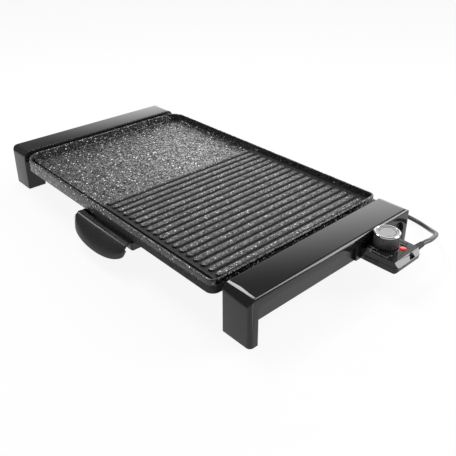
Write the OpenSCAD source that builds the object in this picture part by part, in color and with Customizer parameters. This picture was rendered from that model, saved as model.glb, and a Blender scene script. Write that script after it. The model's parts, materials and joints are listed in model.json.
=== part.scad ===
// Electric table grill: a stone-coated cast plate carried between two arched
// end bridges, with a pull-out drip tray and a detachable temperature
// controller on a mains lead. Millimetres, +Z up, +X towards the controller,
// -Y towards the drip tray's handle.

/* [Grill plate] */
// Length of the grill plate
plate_len = 500; // [440:1:560]
// Width of the grill plate, front to back
plate_w = 335; // [300:1:380]
// Height of the plate's outer skirt
skirt_h = 20; // [18:0.5:24]
// Thickness of the plate's skirt
skirt_t = 3.6; // [3:0.1:5]
// Width of the flat lip on top of the rim
lip_w = 3; // [2:0.1:4]
// Depth of the pan from its lip to the cooking floor
pan_depth = 10.5; // [8:0.5:13]
// Thickness of the cooking floor
floor_t = 3.5; // [3:0.1:5]
// Run of the inner wall's slope on three sides
wall_run = 1.5; // [0.5:0.1:3]
// Run of the gentler slope on the plate's left side
left_slope_run = 8; // [4:0.5:14]
// Corner radius at the plate's left end
left_corner_r = 30; // [14:1:45]
// Corner radius at the plate's right end
right_corner_r = 12; // [8:0.5:24]
// Width of the fat groove along the front
groove_w = 12; // [8:0.5:16]
// Depth of the fat groove below the cooking floor
groove_d = 3; // [1.5:0.5:4]
// Length of the drain slot in the groove
slot_len = 98; // [60:1:110]
// Width of the drain slot
slot_w = 7; // [6:0.5:8]
// Place of the drain slot's middle along the plate's length
slot_x = 6; // [2:1:14]

/* [Ribs] */
// Number of ribs on the grilling half
rib_count = 18; // [8:1:20]
// Spacing of the ribs
rib_pitch = 14.7; // [12:0.1:16]
// Width of a rib at the cooking floor
rib_w = 10; // [6:0.5:11]
// Height of a rib
rib_h = 3; // [2:0.1:4]
// Last rib's centre to the plate's right edge
rib_edge = 17; // [12:0.5:24]
// Gap from the groove to the ribs' front ends
rib_front_gap = 5.5; // [3:0.5:12]
// Gap from the back wall to the ribs' back ends
rib_back_gap = 10.5; // [6:0.5:24]

/* [Bridges] */
// Width of an end bridge along the plate's length
bridge_w = 49; // [44:0.5:56]
// Length of an end bridge, front to back
bridge_len = 327; // [300:1:340]
// Height of the bridges' top above the table
bridge_h = 72.5; // [70:0.5:80]
// Gap between the plate and the left bridge
left_gap = 4; // [2:0.5:8]
// Gap between the plate and the right bridge
right_gap = 13; // [10:0.5:16]
// Height of the plate's lip below the bridges' top
lip_drop = 4; // [2:0.5:6]
// Wall of the moulded bridge covers
cover_t = 2.5; // [2:0.1:3.5]
// Height of the band above the arch
band_h = 14; // [12:0.5:18]
// Width of a leg's front frame
leg_w = 13.8; // [12:0.2:18]
// Radius of the arch's upper corners
arch_r = 16; // [8:1:20]
// Radius of the cover's top at its two ends
end_r = 13.5; // [6:0.5:16]
// Radius of the cover's outer long edge
outer_r = 5; // [3:0.5:8]
// Radius of the cover's inner long edge
inner_r = 1.5; // [0.5:0.5:3]
// Radius of the cover's outer upright edges
leg_r = 6.5; // [3:0.5:7.5]
// Length of the inner wing that a leg turns round the corner
wing_len = 32; // [24:1:40]
// Depth of the dark panel behind the cover's face
panel_inset = 5.5; // [4:0.5:8]
// Lower edge of the panel below the bridges' top
panel_drop = 39; // [38.5:0.5:42]
// Wall of the inner carriers
carrier_t = 2.5; // [2:0.1:3.5]
// Depth of a rubber foot above the table
foot_h = 6; // [4:0.5:8]
// Height at which a foot holds its leg off the table
foot_stand = 1.2; // [0.6:0.1:2]

/* [Drip tray] */
// Outside width of the drip tray
tray_w = 134; // [110:1:140]
// Depth of the drip tray, front to back
tray_depth = 106; // [80:1:110]
// Height of the drip tray's walls
tray_h = 12; // [10:0.5:13]
// Wall of the drip tray
tray_t = 1.6; // [1.2:0.1:2.4]
// Place of the tray's middle along the plate's length
tray_x = 16; // [10:1:20]
// Gap between the skirt and the tray's rim
tray_gap = 2.5; // [2:0.1:4]
// Reach of the handle's lip beyond its top edge
scoop_out = 18.5; // [14:0.5:24]
// Fall of the handle's lip below its top edge
scoop_drop = 28.5; // [22:0.5:30]
// Thickness of the scooped handle
scoop_t = 2.8; // [2:0.1:4]

/* [Controller] */
// Distance of the controller's middle from the bridge's back end
ctrl_in = 88; // [84:0.5:94]
// Width of the controller
ctrl_w = 60; // [56:1:66]
// Length of the controller from its socket end to its nose
ctrl_len = 57; // [54:0.5:62]
// Height of the controller
ctrl_h = 17.4; // [16:0.2:20]
// Wall of the controller's shells
ctrl_t = 2.2; // [1.8:0.1:3]
// Diameter of the control knob's grip
knob_d = 35.2; // [32:0.2:38]
// Height of the knob above the controller
knob_h = 21.6; // [16:0.2:26]
// Number of flutes round the knob
flute_count = 40; // [24:1:48]
// Diameter of the lit indicator window
lamp_d = 10.5; // [8:0.5:12]
// Diameter of the heating element's tube
element_d = 6.4; // [5:0.1:7]
// Diameter of the temperature probe
probe_d = 6; // [5:0.1:7]
// Diameter of a terminal pin
pin_d = 4.8; // [4:0.1:5]
// Distance between the two terminal pins
pin_gap = 30; // [24:1:32]

/* [Mains lead] */
// Diameter of the mains lead
cord_d = 6.8; // [6:0.1:7.4]
// Length of the tapered strain relief
relief_len = 24; // [20:1:32]
// Radius of the coil's inner turn
coil_r_in = 28; // [24:1:34]
// Spacing of the coil's turns
coil_pitch = 7.4; // [7.3:0.1:9]
// Diameter of a mains plug pin
plug_pin_d = 4.8; // [4:0.1:5]
// Length of a mains plug pin
plug_pin_len = 19; // [17:0.5:20]
// Distance between the plug's pins
plug_pin_gap = 18.6; // [17:0.1:19.2]

/* [Hidden] */
$fn = 48;

// General clearances and fixings
over = 1; // how far a cut runs past the face it opens
seat = 0.3; // clearance between parts that seat together
run = 0.06; // radial clearance of a shaft in its bearing
touch = 0.05; // clearance of a press or clamp seat
sink = 0.4; // how far a feature is rooted in the body that carries it
screw_r = 1.5; // shank radius of the small screws
screw_head_r = 3; // head radius of the small screws
screw_head_h = 1.8; // head height of the small screws
slot_gap = 0.8; // width of a screwdriver slot
pilot = 0.1; // clearance round a screw in its boss
boss_wall = 2; // wall round a screw in its boss
arc_steps = 8; // steps in a rounded corner
head_share = 0.8; // a screw head's top, as a share of its bearing face
least_share = 0.2; // least inside rounding, as a share of the outside one

// Heights above the table
lip_z = bridge_h - lip_drop;
skirt_z = lip_z - skirt_h;
cook_z = lip_z - pan_depth;
under_z = cook_z - floor_t;
element_z = under_z - touch - element_d / 2;
tray_top = skirt_z - tray_gap;
tray_z = tray_top - tray_h;
arch_z = bridge_h - band_h;
panel_z = bridge_h - panel_drop;
ctrl_drop = 17.3; // bridge top down to the controller's top face
ctrl_top = bridge_h - ctrl_drop;
ctrl_z = ctrl_top - ctrl_h;
plug_z = ctrl_top - ctrl_h / 2;

// Places along the length and the depth
plate_x = plate_len / 2;
plate_y = plate_w / 2;
right_x = plate_x + right_gap;
left_x = -plate_x - left_gap;
carrier_x = bridge_w - panel_inset;
ctrl_x = right_x + bridge_w;
ctrl_y = bridge_len / 2 - ctrl_in;
nose_x = ctrl_x + ctrl_len;
far_left = left_x - bridge_w;
neck_len = 9.5; // length of the handle's neck in front of the plate
grip_y = -plate_y - neck_len;
lip_y = grip_y - scoop_out;
mid_x = (nose_x + far_left) / 2;
mid_y = (plate_y + lip_y) / 2;

// Rim section, u from the plate's outer face inwards
wall_u = lip_w + wall_run;
rim_end = wall_u + sink;
lip_r = 1.2; // rounding of the lip's outer edge
lip_steps = 4; // steps in each rounding of the lip
lip_end = 20; // angle at which the lip's inner rounding meets the wall
groove_y = -plate_y + wall_u + groove_w;
fold_t = 3; // thickness of the pan where it turns down from the rim

function arc(c, r, a, b, n = arc_steps) =
    [for (i = [0 : n]) c + r * [cos(a + (b - a) * i / n), sin(a + (b - a) * i / n)]];

rim = concat([[0, skirt_z]],
    arc([lip_r, lip_z - lip_r], lip_r, 180, 90, lip_steps),
    arc([lip_w - lip_r / 2, lip_z - lip_r / 2], lip_r / 2, 90, lip_end, lip_steps),
    [[wall_u, cook_z], [rim_end, cook_z], [rim_end, under_z], [skirt_t, under_z],
     [skirt_t, skirt_z]]);

// An outline with its own radius at the left and the right corners
module pan_outline(inset, grow = 0)
    union() {
        x = plate_x - inset + grow;
        y = plate_y - inset + grow;
        rl = max(left_corner_r - inset, lip_r);
        rr = max(right_corner_r - inset, lip_r);
        translate([-x + rl, -y]) square([2 * x - rl - rr, 2 * y]);
        translate([-x, -y + rl]) square([rl + sink, 2 * (y - rl)]);
        translate([x - rr - sink, -y + rr]) square([rr + sink, 2 * (y - rr)]);
        for (s = [-1, 1]) {
            translate([-x + rl, s * (y - rl)]) circle(rl);
            translate([x - rr, s * (y - rr)]) circle(rr);
        }
    }

// One straight stretch of the rim, from a start point along a direction
module rim_side(start, dir, len)
    translate(start) rotate(dir) rotate([90, 0, 90]) linear_extrude(len) polygon(rim);

// One corner of the rim
module rim_corner(centre, dir, r)
    translate(centre) rotate(dir) rotate_extrude(angle = 90)
        polygon([for (p = rim) [r - p.x, p.y]]);

module rim_ring() {
    l = left_corner_r;
    r = right_corner_r;
    rim_side([-plate_x + l, -plate_y], 0, plate_len - l - r);
    rim_side([plate_x, -plate_y + r], 90, plate_w - 2 * r);
    rim_side([plate_x - r, plate_y], 180, plate_len - l - r);
    rim_side([-plate_x, plate_y - l], 270, plate_w - 2 * l);
    rim_corner([plate_x - r, -plate_y + r], -90, r);
    rim_corner([plate_x - r, plate_y - r], 0, r);
    rim_corner([-plate_x + l, plate_y - l], 90, l);
    rim_corner([-plate_x + l, -plate_y + l], 180, l);
}

// Ribs: flat-topped bars with round shoulders and round ends
rib_r = 1.4; // rounding of a rib's shoulders
rib_lean = 0.5; // how far a rib's side leans in
rib_front = groove_y + rib_front_gap + rib_w / 2;
rib_back = plate_y - wall_u - rib_back_gap - rib_w / 2;
function rib_x(i) = plate_x - rib_edge - i * rib_pitch;

rib_side = concat([[rib_w / 2, -sink], [rib_w / 2, 0]],
    arc([rib_w / 2 - rib_lean - rib_r, rib_h - rib_r], rib_r, 0, 90, lip_steps));
rib_last = len(rib_side) - 1;
rib_section = concat(rib_side, [for (i = [rib_last : -1 : 0]) [-rib_side[i].x, rib_side[i].y]]);

module rib()
    translate([0, 0, cook_z]) {
        translate([0, rib_back, 0]) rotate([90, 0, 0]) linear_extrude(rib_back - rib_front)
            polygon(rib_section);
        for (y = [rib_front, rib_back]) translate([0, y, 0]) rotate_extrude()
            polygon(concat([[0, -sink]], rib_side, [[0, rib_h]]));
    }

module ribs() for (i = [0 : rib_count - 1]) translate([rib_x(i), 0, 0]) rib();

// The gentle slope inside the plate's left wall, with a round step at its foot
slope_step = 1.8; // height of that step
step_start = 60; // angle at which the step's rounding leaves the slope
module left_slope() {
    foot = wall_u + left_slope_run;
    slope_len = plate_w - wall_u - left_corner_r / 2 - (groove_y + plate_y);
    translate([-plate_x, groove_y + slope_len, 0]) rotate([90, 0, 0]) linear_extrude(slope_len)
        polygon(concat([[lip_w - sink, lip_z - lip_r], [lip_w, lip_z - lip_r]],
            arc([foot - slope_step, cook_z], slope_step, step_start, 0, lip_steps),
            [[foot, cook_z - sink], [lip_w - sink, cook_z - sink]]));
}

// Lugs and screws that carry the plate on the two bridges
lug_in = 45.5; // lugs' middle from the bridges' ends
lug_y = bridge_len / 2 - lug_in;
lug_w = 20; // width of a lug
lug_t = 5; // thickness of a lug
lug_reach = 14; // reach of a lug into its bridge
lug_hole = 8; // place of the lug's screw behind the bridge's inner face
lug_screw_r = 2; // radius of the lug's screw
lug_top = under_z;
lug_z = lug_top - lug_t;

module lug(gap)
    difference() {
        translate([plate_x - skirt_t - sink, -lug_w / 2, lug_z])
            cube([skirt_t + sink + gap + lug_reach, lug_w, lug_t]);
        translate([plate_x + gap + lug_hole, 0, lug_z - over])
            cylinder(r = lug_screw_r + pilot, h = lug_t + 2 * over);
    }

// Heating element: passes between the left end and the right end
element_side = 39.5; // outermost passes from the plate's long sides
element_mid = 45; // middle passes, front and back of the centre
element_ends = 45; // ends of the outer loop from the plate's short sides
element_inner = 55; // left end of the inner loop from that of the outer loop
element_back = plate_y - element_side;
element_left = -plate_x + element_ends;
element_right = plate_x - element_ends;
element_turn = element_left + element_inner;
bend_r = 22; // bend radius of the element
element_exit = 12; // straight run of the element's cold ends inside the skirt
element_turn_in = 20; // how far the outer loop turns back before the cold ends
element_sides = 12; // faces round the element's tube
stud_len = 9; // bare stud beyond the element's end
element_end = plate_x + 9; // the element's cold ends stand past the skirt
element_path = [[element_end, ctrl_y + pin_gap / 2],
    [element_right + element_exit, ctrl_y + pin_gap / 2], [element_right - element_turn_in, element_back],
    [element_left, element_back], [element_left, -element_back],
    [element_right, -element_back], [element_right, -element_mid],
    [element_turn, -element_mid], [element_turn, element_mid],
    [element_right - element_turn_in, element_mid], [element_right + element_exit, ctrl_y - pin_gap / 2],
    [element_end, ctrl_y - pin_gap / 2]];

function unit2(v) = v / norm(v);
function heading(v) = atan2(v.y, v.x);
function turn(a, b) = (heading(b) - heading(a) + 540) % 360 - 180;
function tangent_len(p, i, r) = r * tan(abs(turn(p[i] - p[i - 1], p[i + 1] - p[i])) / 2);

// The points of a flat path with its corners bent to one radius
bend_step = 15; // angle between the rings round a bend
function bent_path(p, bend, z) = let (last = len(p) - 1) concat([[p[0].x, p[0].y, z]],
    [for (i = [1 : last - 1])
        let (d1 = unit2(p[i] - p[i - 1]), d2 = unit2(p[i + 1] - p[i]), t = turn(d1, d2), s = sign(t))
        let (c = p[i] - d1 * tangent_len(p, i, bend) + s * bend * [-d1.y, d1.x])
        let (from = heading(d1) - s * 90, n = ceil(abs(t) / bend_step))
        for (k = [0 : n]) let (q = c + bend * [cos(from + t * k / n), sin(from + t * k / n)]) [q.x, q.y, z]],
    [[p[last].x, p[last].y, z]]);

// Bosses below the plate for the tray's runners
runner_out = 8.5; // from the tray's wall to the middle of its runner
runner_w = 13; // width of a runner
runner_h = 5; // height of a runner
runner_gap = 5; // gap between the skirt and the runners
runner_front = -plate_y + skirt_t + runner_gap; // front end of the runners
runner_len = 100; // length of a runner
runner_boss_r = 5; // radius of a boss
runner_boss_in = 12; // a boss's distance from its runner's end
element_clear = 0.03; // clearance of the runners' bosses below the element
runner_top = element_z - element_d / 2 - element_clear;
rail_lip = 4; // reach of the tray's side lips
rail_t = 1.6; // thickness of the tray's side lips
runner_side = tray_w / 2 + runner_out;
boss_y = [runner_front + runner_boss_in, runner_front + runner_len - runner_boss_in];

module runner_bosses()
    for (s = [-1, 1]) for (y = boss_y)
        translate([tray_x + s * runner_side, y, 0]) difference() {
            translate([0, 0, runner_top]) cylinder(r = runner_boss_r, h = under_z - runner_top + sink);
            translate([0, 0, runner_top - over]) cylinder(r = screw_r + pilot, h = runner_h + over);
        }

// Clamps that hold the element up against the plate
clamp_w = 12; // width of a clamp strap
clamp_t = 1.2; // thickness of a clamp strap
clamp_ear = 9; // a clamp's screw beside the element's middle
clamp_boss_r = 4; // radius of a clamp's boss
clamp_places = [[element_left * 0.5, element_back], [element_right * 0.5, element_back],
    [element_left * 0.5, -element_back], [element_right * 0.8, -element_back],
    [element_turn * 0.5, -element_mid], [element_right * 0.6, -element_mid],
    [element_turn * 0.5, element_mid], [element_right * 0.6, element_mid]];
clamp_top = element_z - element_d / 2 + clamp_t;

module clamp_bosses()
    for (p = clamp_places) for (s = [-1, 1])
        translate([p.x, p.y + s * clamp_ear, 0]) difference() {
            translate([0, 0, clamp_top]) cylinder(r = clamp_boss_r, h = under_z - clamp_top + sink);
            translate([0, 0, clamp_top - over]) cylinder(r = screw_r + pilot, h = runner_h);
        }

// Boss that holds the probe's sleeve against the plate
sleeve_wall = 1.2; // wall of the probe's sleeve
sleeve_len = 34; // length of the probe's sleeve
sleeve_r = probe_d / 2 + run + sleeve_wall;
sleeve_x = plate_x + 6; // open end of the sleeve
sleeve_boss_w = 16; // width of the boss round the sleeve
sleeve_bare = 10; // open end of the sleeve outside its boss

module sleeve_boss()
    difference() {
        translate([sleeve_x - sleeve_len, ctrl_y - sleeve_boss_w / 2, plug_z - sleeve_r - carrier_t])
            cube([sleeve_len - sleeve_bare, sleeve_boss_w, under_z + sink - plug_z + sleeve_r + carrier_t]);
        translate([sleeve_x - sleeve_len - over, ctrl_y, plug_z]) rotate([0, 90, 0])
            cylinder(r = sleeve_r + touch, h = sleeve_len);
    }

module grill_plate()
    color([0.20, 0.20, 0.21]) difference() {
        union() {
            rim_ring();
            translate([0, 0, under_z]) linear_extrude(floor_t) pan_outline(wall_u);
            groove_trough();
            left_slope();
            ribs();
            for (s = [-1, 1]) translate([0, s * lug_y, 0]) {
                lug(right_gap);
                mirror([1, 0, 0]) lug(left_gap);
            }
            runner_bosses();
            clamp_bosses();
            sleeve_boss();
        }
        fat_groove();
        drain_slot();
        for (s = [-1, 1]) translate([plate_x - skirt_t - over, ctrl_y + s * pin_gap / 2, element_z])
            rotate([0, 90, 0]) cylinder(r = element_d / 2 + seat, h = skirt_t + 2 * over);
        translate([plate_x - skirt_t - over, ctrl_y, plug_z]) rotate([0, 90, 0])
            cylinder(r = sleeve_r + seat, h = skirt_t + 2 * over);
    }

module groove_trough()
    intersection() {
        translate([0, 0, cook_z - groove_d - fold_t]) linear_extrude(groove_d + fold_t) pan_outline(lip_w);
        translate([-plate_x, -plate_y, 0])
            cube([plate_len, wall_u + groove_w + fold_t, bridge_h]);
    }

module fat_groove()
    intersection() {
        translate([0, 0, cook_z - groove_d]) linear_extrude(groove_d + over) pan_outline(wall_u);
        translate([-plate_x, -plate_y, 0]) cube([plate_len, wall_u + groove_w, bridge_h]);
    }

slot_y = -plate_y + wall_u + groove_w / 2;

module drain_slot()
    translate([slot_x, slot_y, cook_z - groove_d - fold_t - over]) {
        h = fold_t + 2 * over;
        for (s = [-1, 1]) translate([s * (slot_len - slot_w) / 2, 0, 0]) cylinder(d = slot_w, h = h);
        translate([-(slot_len - slot_w) / 2, -slot_w / 2, 0]) cube([slot_len - slot_w, slot_w, h]);
    }

module heating_element()
    color([0.45, 0.43, 0.40])
        tube(bent_path(element_path, bend_r, element_z), element_d / 2, element_sides, [-1, 0, 0], [1, 0, 0]);

module element_clamps()
    color([0.72, 0.72, 0.72]) for (p = clamp_places) translate([p.x, p.y, 0]) difference() {
        translate([-clamp_w / 2, 0, 0]) rotate([90, 0, 90]) linear_extrude(clamp_w) difference() {
            union() {
                translate([0, element_z]) circle(element_d / 2 + touch + clamp_t);
                translate([-clamp_ear - clamp_boss_r, clamp_top - touch - clamp_t])
                    square([2 * (clamp_ear + clamp_boss_r), clamp_t]);
            }
            translate([0, element_z]) circle(element_d / 2 + touch);
            translate([-element_d, clamp_top - touch]) square([2 * element_d, element_d + clamp_t]);
        }
        for (s = [-1, 1]) translate([0, s * clamp_ear, clamp_top - element_d])
            cylinder(r = screw_r + pilot, h = 2 * element_d);
    }

// A pan-head screw standing head down, its head's bearing face at z = 0
module screw(r, len, head_r, head_h)
    difference() {
        union() {
            cylinder(r = r, h = len);
            translate([0, 0, -head_h]) cylinder(r1 = head_r * head_share, r2 = head_r, h = head_h);
        }
        translate([-head_r - over, -slot_gap / 2, -head_h - over])
            cube([2 * (head_r + over), slot_gap, head_h / 2 + over]);
    }

small_screw_len = 5; // length of the clamp and runner screws
clamp_head_r = 2.4; // head radius of the clamp screws
clamp_head_h = 1.08; // head height of the clamp screws

module clamp_screws()
    color([0.75, 0.75, 0.74]) for (p = clamp_places) for (s = [-1, 1])
        translate([p.x, p.y + s * clamp_ear, clamp_top - touch - clamp_t - touch])
            screw(screw_r, small_screw_len, clamp_head_r, clamp_head_h);

// Studs and straps from the element's ends down to the terminal pins
stud_r = 1.5; // radius of an element's stud
bead_r = 2.9; // radius of the ceramic bead at the element's end
bead_len = 4; // length of the ceramic bead
strap_w = 6; // width of a connecting strap
strap_t = 1; // thickness of a connecting strap
stud_tip = 1; // stud beyond its strap's face
strap_x = element_end + stud_len - stud_tip;

module terminal_studs()
    color([0.80, 0.76, 0.66]) for (s = [-1, 1]) translate([0, ctrl_y + s * pin_gap / 2, 0]) {
        translate([element_end, 0, element_z]) rotate([0, 90, 0]) cylinder(r = bead_r, h = bead_len);
        translate([element_end, 0, element_z]) rotate([0, 90, 0]) cylinder(r = stud_r, h = stud_len);
        translate([strap_x, -strap_w / 2, plug_z - strap_w / 2])
            cube([strap_t, strap_w, element_z - plug_z + strap_w]);
    }

inner_leg_r = 2; // radius of a cover's upright edges on the plate's side
wing_r = 4; // radius of the corners in a cover's inner wall

// Bridge covers: the outer form is where three rounded profiles meet
module cover_form(i) {
    w = bridge_w - 2 * i;
    l = bridge_len - 2 * i;
    top = bridge_h - i;
    low = i > 0 ? -over : foot_stand;
    intersection() {
        translate([0, l / 2, 0]) rotate([90, 0, 0]) linear_extrude(l)
            round_top(i, i + w, low, top, max(inner_r - i, least_share * inner_r), outer_r - i);
        translate([i, 0, 0]) rotate([90, 0, 90]) linear_extrude(w)
            round_top(-l / 2, l / 2, low, top, end_r - i, end_r - i);
        linear_extrude(bridge_h) translate([i, 0])
            cover_plan(w, l / 2, max(inner_leg_r - i, least_share * inner_leg_r), leg_r - i);
    }
}

// A rectangle whose two upper corners are rounded
module round_top(x0, x1, z0, z1, r0, r1)
    polygon(concat([[x0, z0]], arc([x0 + r0, z1 - r0], r0, 180, 90),
        arc([x1 - r1, z1 - r1], r1, 90, 0), [[x1, z0]]));

// Plan of a cover: r0 at the corners on the plate's side, r1 at the outer ones
module cover_plan(w, y, r0, r1)
    polygon(concat(arc([r0, r0 - y], r0, 270, 180), arc([r0, y - r0], r0, 180, 90),
        arc([w - r1, y - r1], r1, 90, 0), arc([w - r1, r1 - y], r1, 0, -90)));

module round_rect(x, y, r)
    union() {
        square([x - 2 * r, y], center = true);
        square([x, y - 2 * r], center = true);
        for (i = [-1, 1]) for (j = [-1, 1]) translate([i * (x / 2 - r), j * (y / 2 - r)]) circle(r);
    }

arch_y = bridge_len / 2 - leg_w;
wing_y = bridge_len / 2 - wing_len;
inner_gap = 2.5; // gap between the lugs and the cover's inner wall
inner_arch_z = lug_top + inner_gap;
boss_back = 13; // cover screws' distance from the arch's side
cover_boss_y = arch_y - boss_back;
cover_boss_x = bridge_w / 2;
cover_boss_r = 4.5; // radius of a cover's screw boss

// An arch opening through the wall between x0 and x1
module arch_cut(x0, x1, half, top, r)
    translate([x0, 0, 0]) rotate([90, 0, 90]) linear_extrude(x1 - x0)
        round_top(-half, half, -over, top, r, r);

module bridge_cover()
    difference() {
        cover_form(0);
        difference() {
            cover_form(cover_t);
            for (s = [-1, 1]) {
                translate([0, s * (arch_y + cover_t / 2), bridge_h / 2])
                    cube([2 * bridge_w, cover_t, bridge_h], center = true);
                translate([-over, s * (bridge_len / 2 - leg_w / 2) - leg_w / 2, foot_h + touch])
                    cube([bridge_w + over, leg_w, cover_t]);
                translate([cover_boss_x, s * cover_boss_y, panel_z + carrier_t + touch]) difference() {
                    cylinder(r = cover_boss_r, h = bridge_h);
                    translate([0, 0, -over]) cylinder(r = screw_r + pilot, h = cover_screw_len);
                }
            }
        }
        arch_cut(bridge_w - cover_t - over, bridge_w + over, arch_y, arch_z, arch_r);
        arch_cut(-over, cover_t + over, wing_y, inner_arch_z, wing_r);
    }

module right_bridge() color([0.05, 0.05, 0.055]) translate([right_x, 0, 0]) bridge_cover();
module left_bridge() color([0.05, 0.05, 0.055]) translate([left_x, 0, 0]) mirror([1, 0, 0]) bridge_cover();

// Carriers: the satin inner boxes that join the plate to the covers
carrier_len = 2 * (arch_y - seat);
carrier_in = cover_t + seat;
carrier_top = bridge_h - cover_t - seat;
lug_boss_r = 5; // radius of the post below a lug
cover_screw_len = 12; // length of the screws into the covers

module carrier()
    difference() {
        union() {
            translate([carrier_in, -carrier_len / 2, panel_z])
                cube([carrier_x - carrier_in, carrier_len, carrier_t]);
            translate([carrier_x - carrier_t, -carrier_len / 2, panel_z])
                cube([carrier_t, carrier_len, carrier_top - panel_z]);
            translate([carrier_in, -carrier_len / 2, panel_z])
                cube([carrier_t, carrier_len, lug_z - touch - panel_z]);
            for (s = [-1, 1]) {
                translate([carrier_in, s * (carrier_len - carrier_t) / 2 - carrier_t / 2, panel_z])
                    cube([carrier_x - carrier_in, carrier_t, arch_z - panel_z]);
                translate([lug_hole, s * lug_y, panel_z])
                    cylinder(r = lug_boss_r, h = lug_z - touch - panel_z);
            }
        }
        for (s = [-1, 1]) {
            translate([cover_boss_x, s * cover_boss_y, panel_z - over])
                cylinder(r = screw_r + pilot, h = carrier_t + 2 * over);
            translate([lug_hole, s * lug_y, panel_z + carrier_t])
                cylinder(r = lug_screw_r + pilot, h = bridge_h);
        }
    }

module left_carrier() color([0.11, 0.11, 0.115]) translate([left_x, 0, 0]) mirror([1, 0, 0]) carrier();

module right_carrier()
    color([0.11, 0.11, 0.115]) difference() {
        translate([right_x, 0, 0]) carrier();
        translate([right_x + socket_back - seat, ctrl_y - socket_w / 2 - seat, socket_z - seat])
            cube([bridge_w, socket_w + 2 * seat, socket_top - socket_z + 2 * seat]);
        translate([right_x, ctrl_y - pin_gap / 2 - strap_w, plug_z - strap_w / 2 - seat])
            cube([socket_back, pin_gap + 2 * strap_w, bridge_h]);
    }

lug_screw_len = 14; // length of the screws through the lugs
lug_head_r = 3.6; // head radius of the screws through the lugs

module plate_screws()
    color([0.75, 0.75, 0.74]) for (s = [-1, 1]) {
        for (x = [right_x + lug_hole, left_x - lug_hole])
            translate([x, s * lug_y, lug_top + touch]) rotate([180, 0, 0])
                screw(lug_screw_r, lug_screw_len, lug_head_r, screw_head_h);
    }

module cover_screws()
    color([0.35, 0.35, 0.36]) for (s = [-1, 1]) {
        for (x = [right_x + cover_boss_x, left_x - cover_boss_x])
            translate([x, s * cover_boss_y, panel_z - touch])
                screw(screw_r, cover_screw_len, screw_head_r, screw_head_h);
    }

foot_gap = 0.4; // clearance of a foot in its leg

module rubber_feet()
    color([0.10, 0.10, 0.10]) for (x = [right_x, left_x - bridge_w]) for (s = [-1, 1]) {
        y_mid = s * (bridge_len / 2 - leg_w / 2);
        translate([x + bridge_w / 2, y_mid, 0]) linear_extrude(foot_h)
            round_rect(bridge_w - 2 * (cover_t + foot_gap), leg_w - 2 * (cover_t + foot_gap),
                leg_w / 2 - cover_t - foot_gap);
    }

// Socket moulding that the controller plugs into
socket_w = 76; // width of the socket moulding
socket_z = panel_z + carrier_t + seat;
socket_top = arch_z - seat;
socket_back = 17; // back of the moulding behind the bridge's inner face
socket_front = bridge_w - seat;
socket_t = 2.5; // wall of the socket moulding
nose_w = 52; // width of the contact block that enters the socket
nose_h = 12.4; // height of the contact block
nose_len = 27; // length of the contact block
nose_gap = 0.8; // gap round the contact block in its cavity

module controller_socket()
    color([0.05, 0.05, 0.055]) difference() {
        translate([right_x + socket_back, ctrl_y - socket_w / 2, socket_z])
            cube([socket_front - socket_back, socket_w, socket_top - socket_z]);
        translate([right_x + socket_back + socket_t, ctrl_y - nose_w / 2 - nose_gap,
            plug_z - nose_h / 2 - nose_gap])
            cube([bridge_w, nose_w + 2 * nose_gap, nose_h + 2 * nose_gap]);
        for (s = [-1, 1]) translate([right_x, ctrl_y + s * pin_gap / 2, plug_z]) rotate([0, 90, 0])
            cylinder(r = pin_d / 2 + touch, h = bridge_w);
        translate([right_x, ctrl_y, plug_z]) rotate([0, 90, 0])
            cylinder(r = probe_d / 2 + seat, h = bridge_w);
        for (s = [-1, 1]) translate([right_x, ctrl_y + s * socket_screw_y, plug_z]) rotate([0, 90, 0])
            cylinder(r = screw_r + pilot, h = bridge_w);
    }

socket_screw_y = 32; // the socket's screws beside its middle

module socket_screws()
    color([0.75, 0.75, 0.74]) for (s = [-1, 1])
        translate([right_x + socket_back - touch, ctrl_y + s * socket_screw_y, plug_z]) rotate([0, 90, 0])
            screw(screw_r, cover_screw_len, screw_head_r, screw_head_h);

pin_reach = 15; // reach of a terminal pin inside its socket
pin_back = strap_x + strap_t;

module terminal_pins()
    color([0.78, 0.74, 0.62]) for (s = [-1, 1]) translate([pin_back, ctrl_y + s * pin_gap / 2, plug_z])
        rotate([0, 90, 0]) {
            pin_len = right_x + socket_back + socket_t + pin_reach - pin_back;
            cylinder(d = pin_d, h = pin_len - pin_d / 4);
            translate([0, 0, pin_len - pin_d / 4]) cylinder(d1 = pin_d, d2 = pin_d / 2, h = pin_d / 4);
        }

module probe_sleeve()
    color([0.66, 0.66, 0.66]) translate([sleeve_x - sleeve_len, ctrl_y, plug_z]) rotate([0, 90, 0])
        difference() {
            cylinder(r = sleeve_r, h = sleeve_len);
            translate([0, 0, sleeve_wall]) cylinder(r = probe_d / 2 + run, h = sleeve_len);
        }

// Runners that carry the drip tray by its side lips
ledge_t = 1.6; // thickness of a runner's ledge
lip_gap = 0.3; // clearance of the tray's lip over its ledge

module tray_runner(s)
    color([0.70, 0.70, 0.71]) difference() {
        top = runner_top - touch;
        ledge_z = tray_top - rail_t - lip_gap - ledge_t;
        translate([tray_x + s * runner_side, runner_front, 0]) mirror([s > 0 ? 0 : 1, 0, 0])
            rotate([90, 0, 0]) mirror([0, 0, 1]) linear_extrude(runner_len)
                polygon([[runner_w / 2, ledge_z], [runner_w / 2, top], [-runner_w / 2, top],
                    [-runner_w / 2, tray_top + lip_gap],
                    [rail_lip + lip_gap - runner_out, tray_top + lip_gap],
                    [rail_lip + lip_gap - runner_out, ledge_z + ledge_t],
                    [lip_gap - runner_out, ledge_z + ledge_t], [lip_gap - runner_out, ledge_z]]);
        for (y = boss_y) translate([tray_x + s * runner_side, y, 0]) {
            cylinder(r = screw_r + pilot, h = bridge_h);
            cylinder(r = screw_head_r + pilot, h = runner_seat_z);
        }
    }

runner_web = 1.6; // web of a runner under its screw's head
runner_seat_z = runner_top - runner_web;

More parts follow.
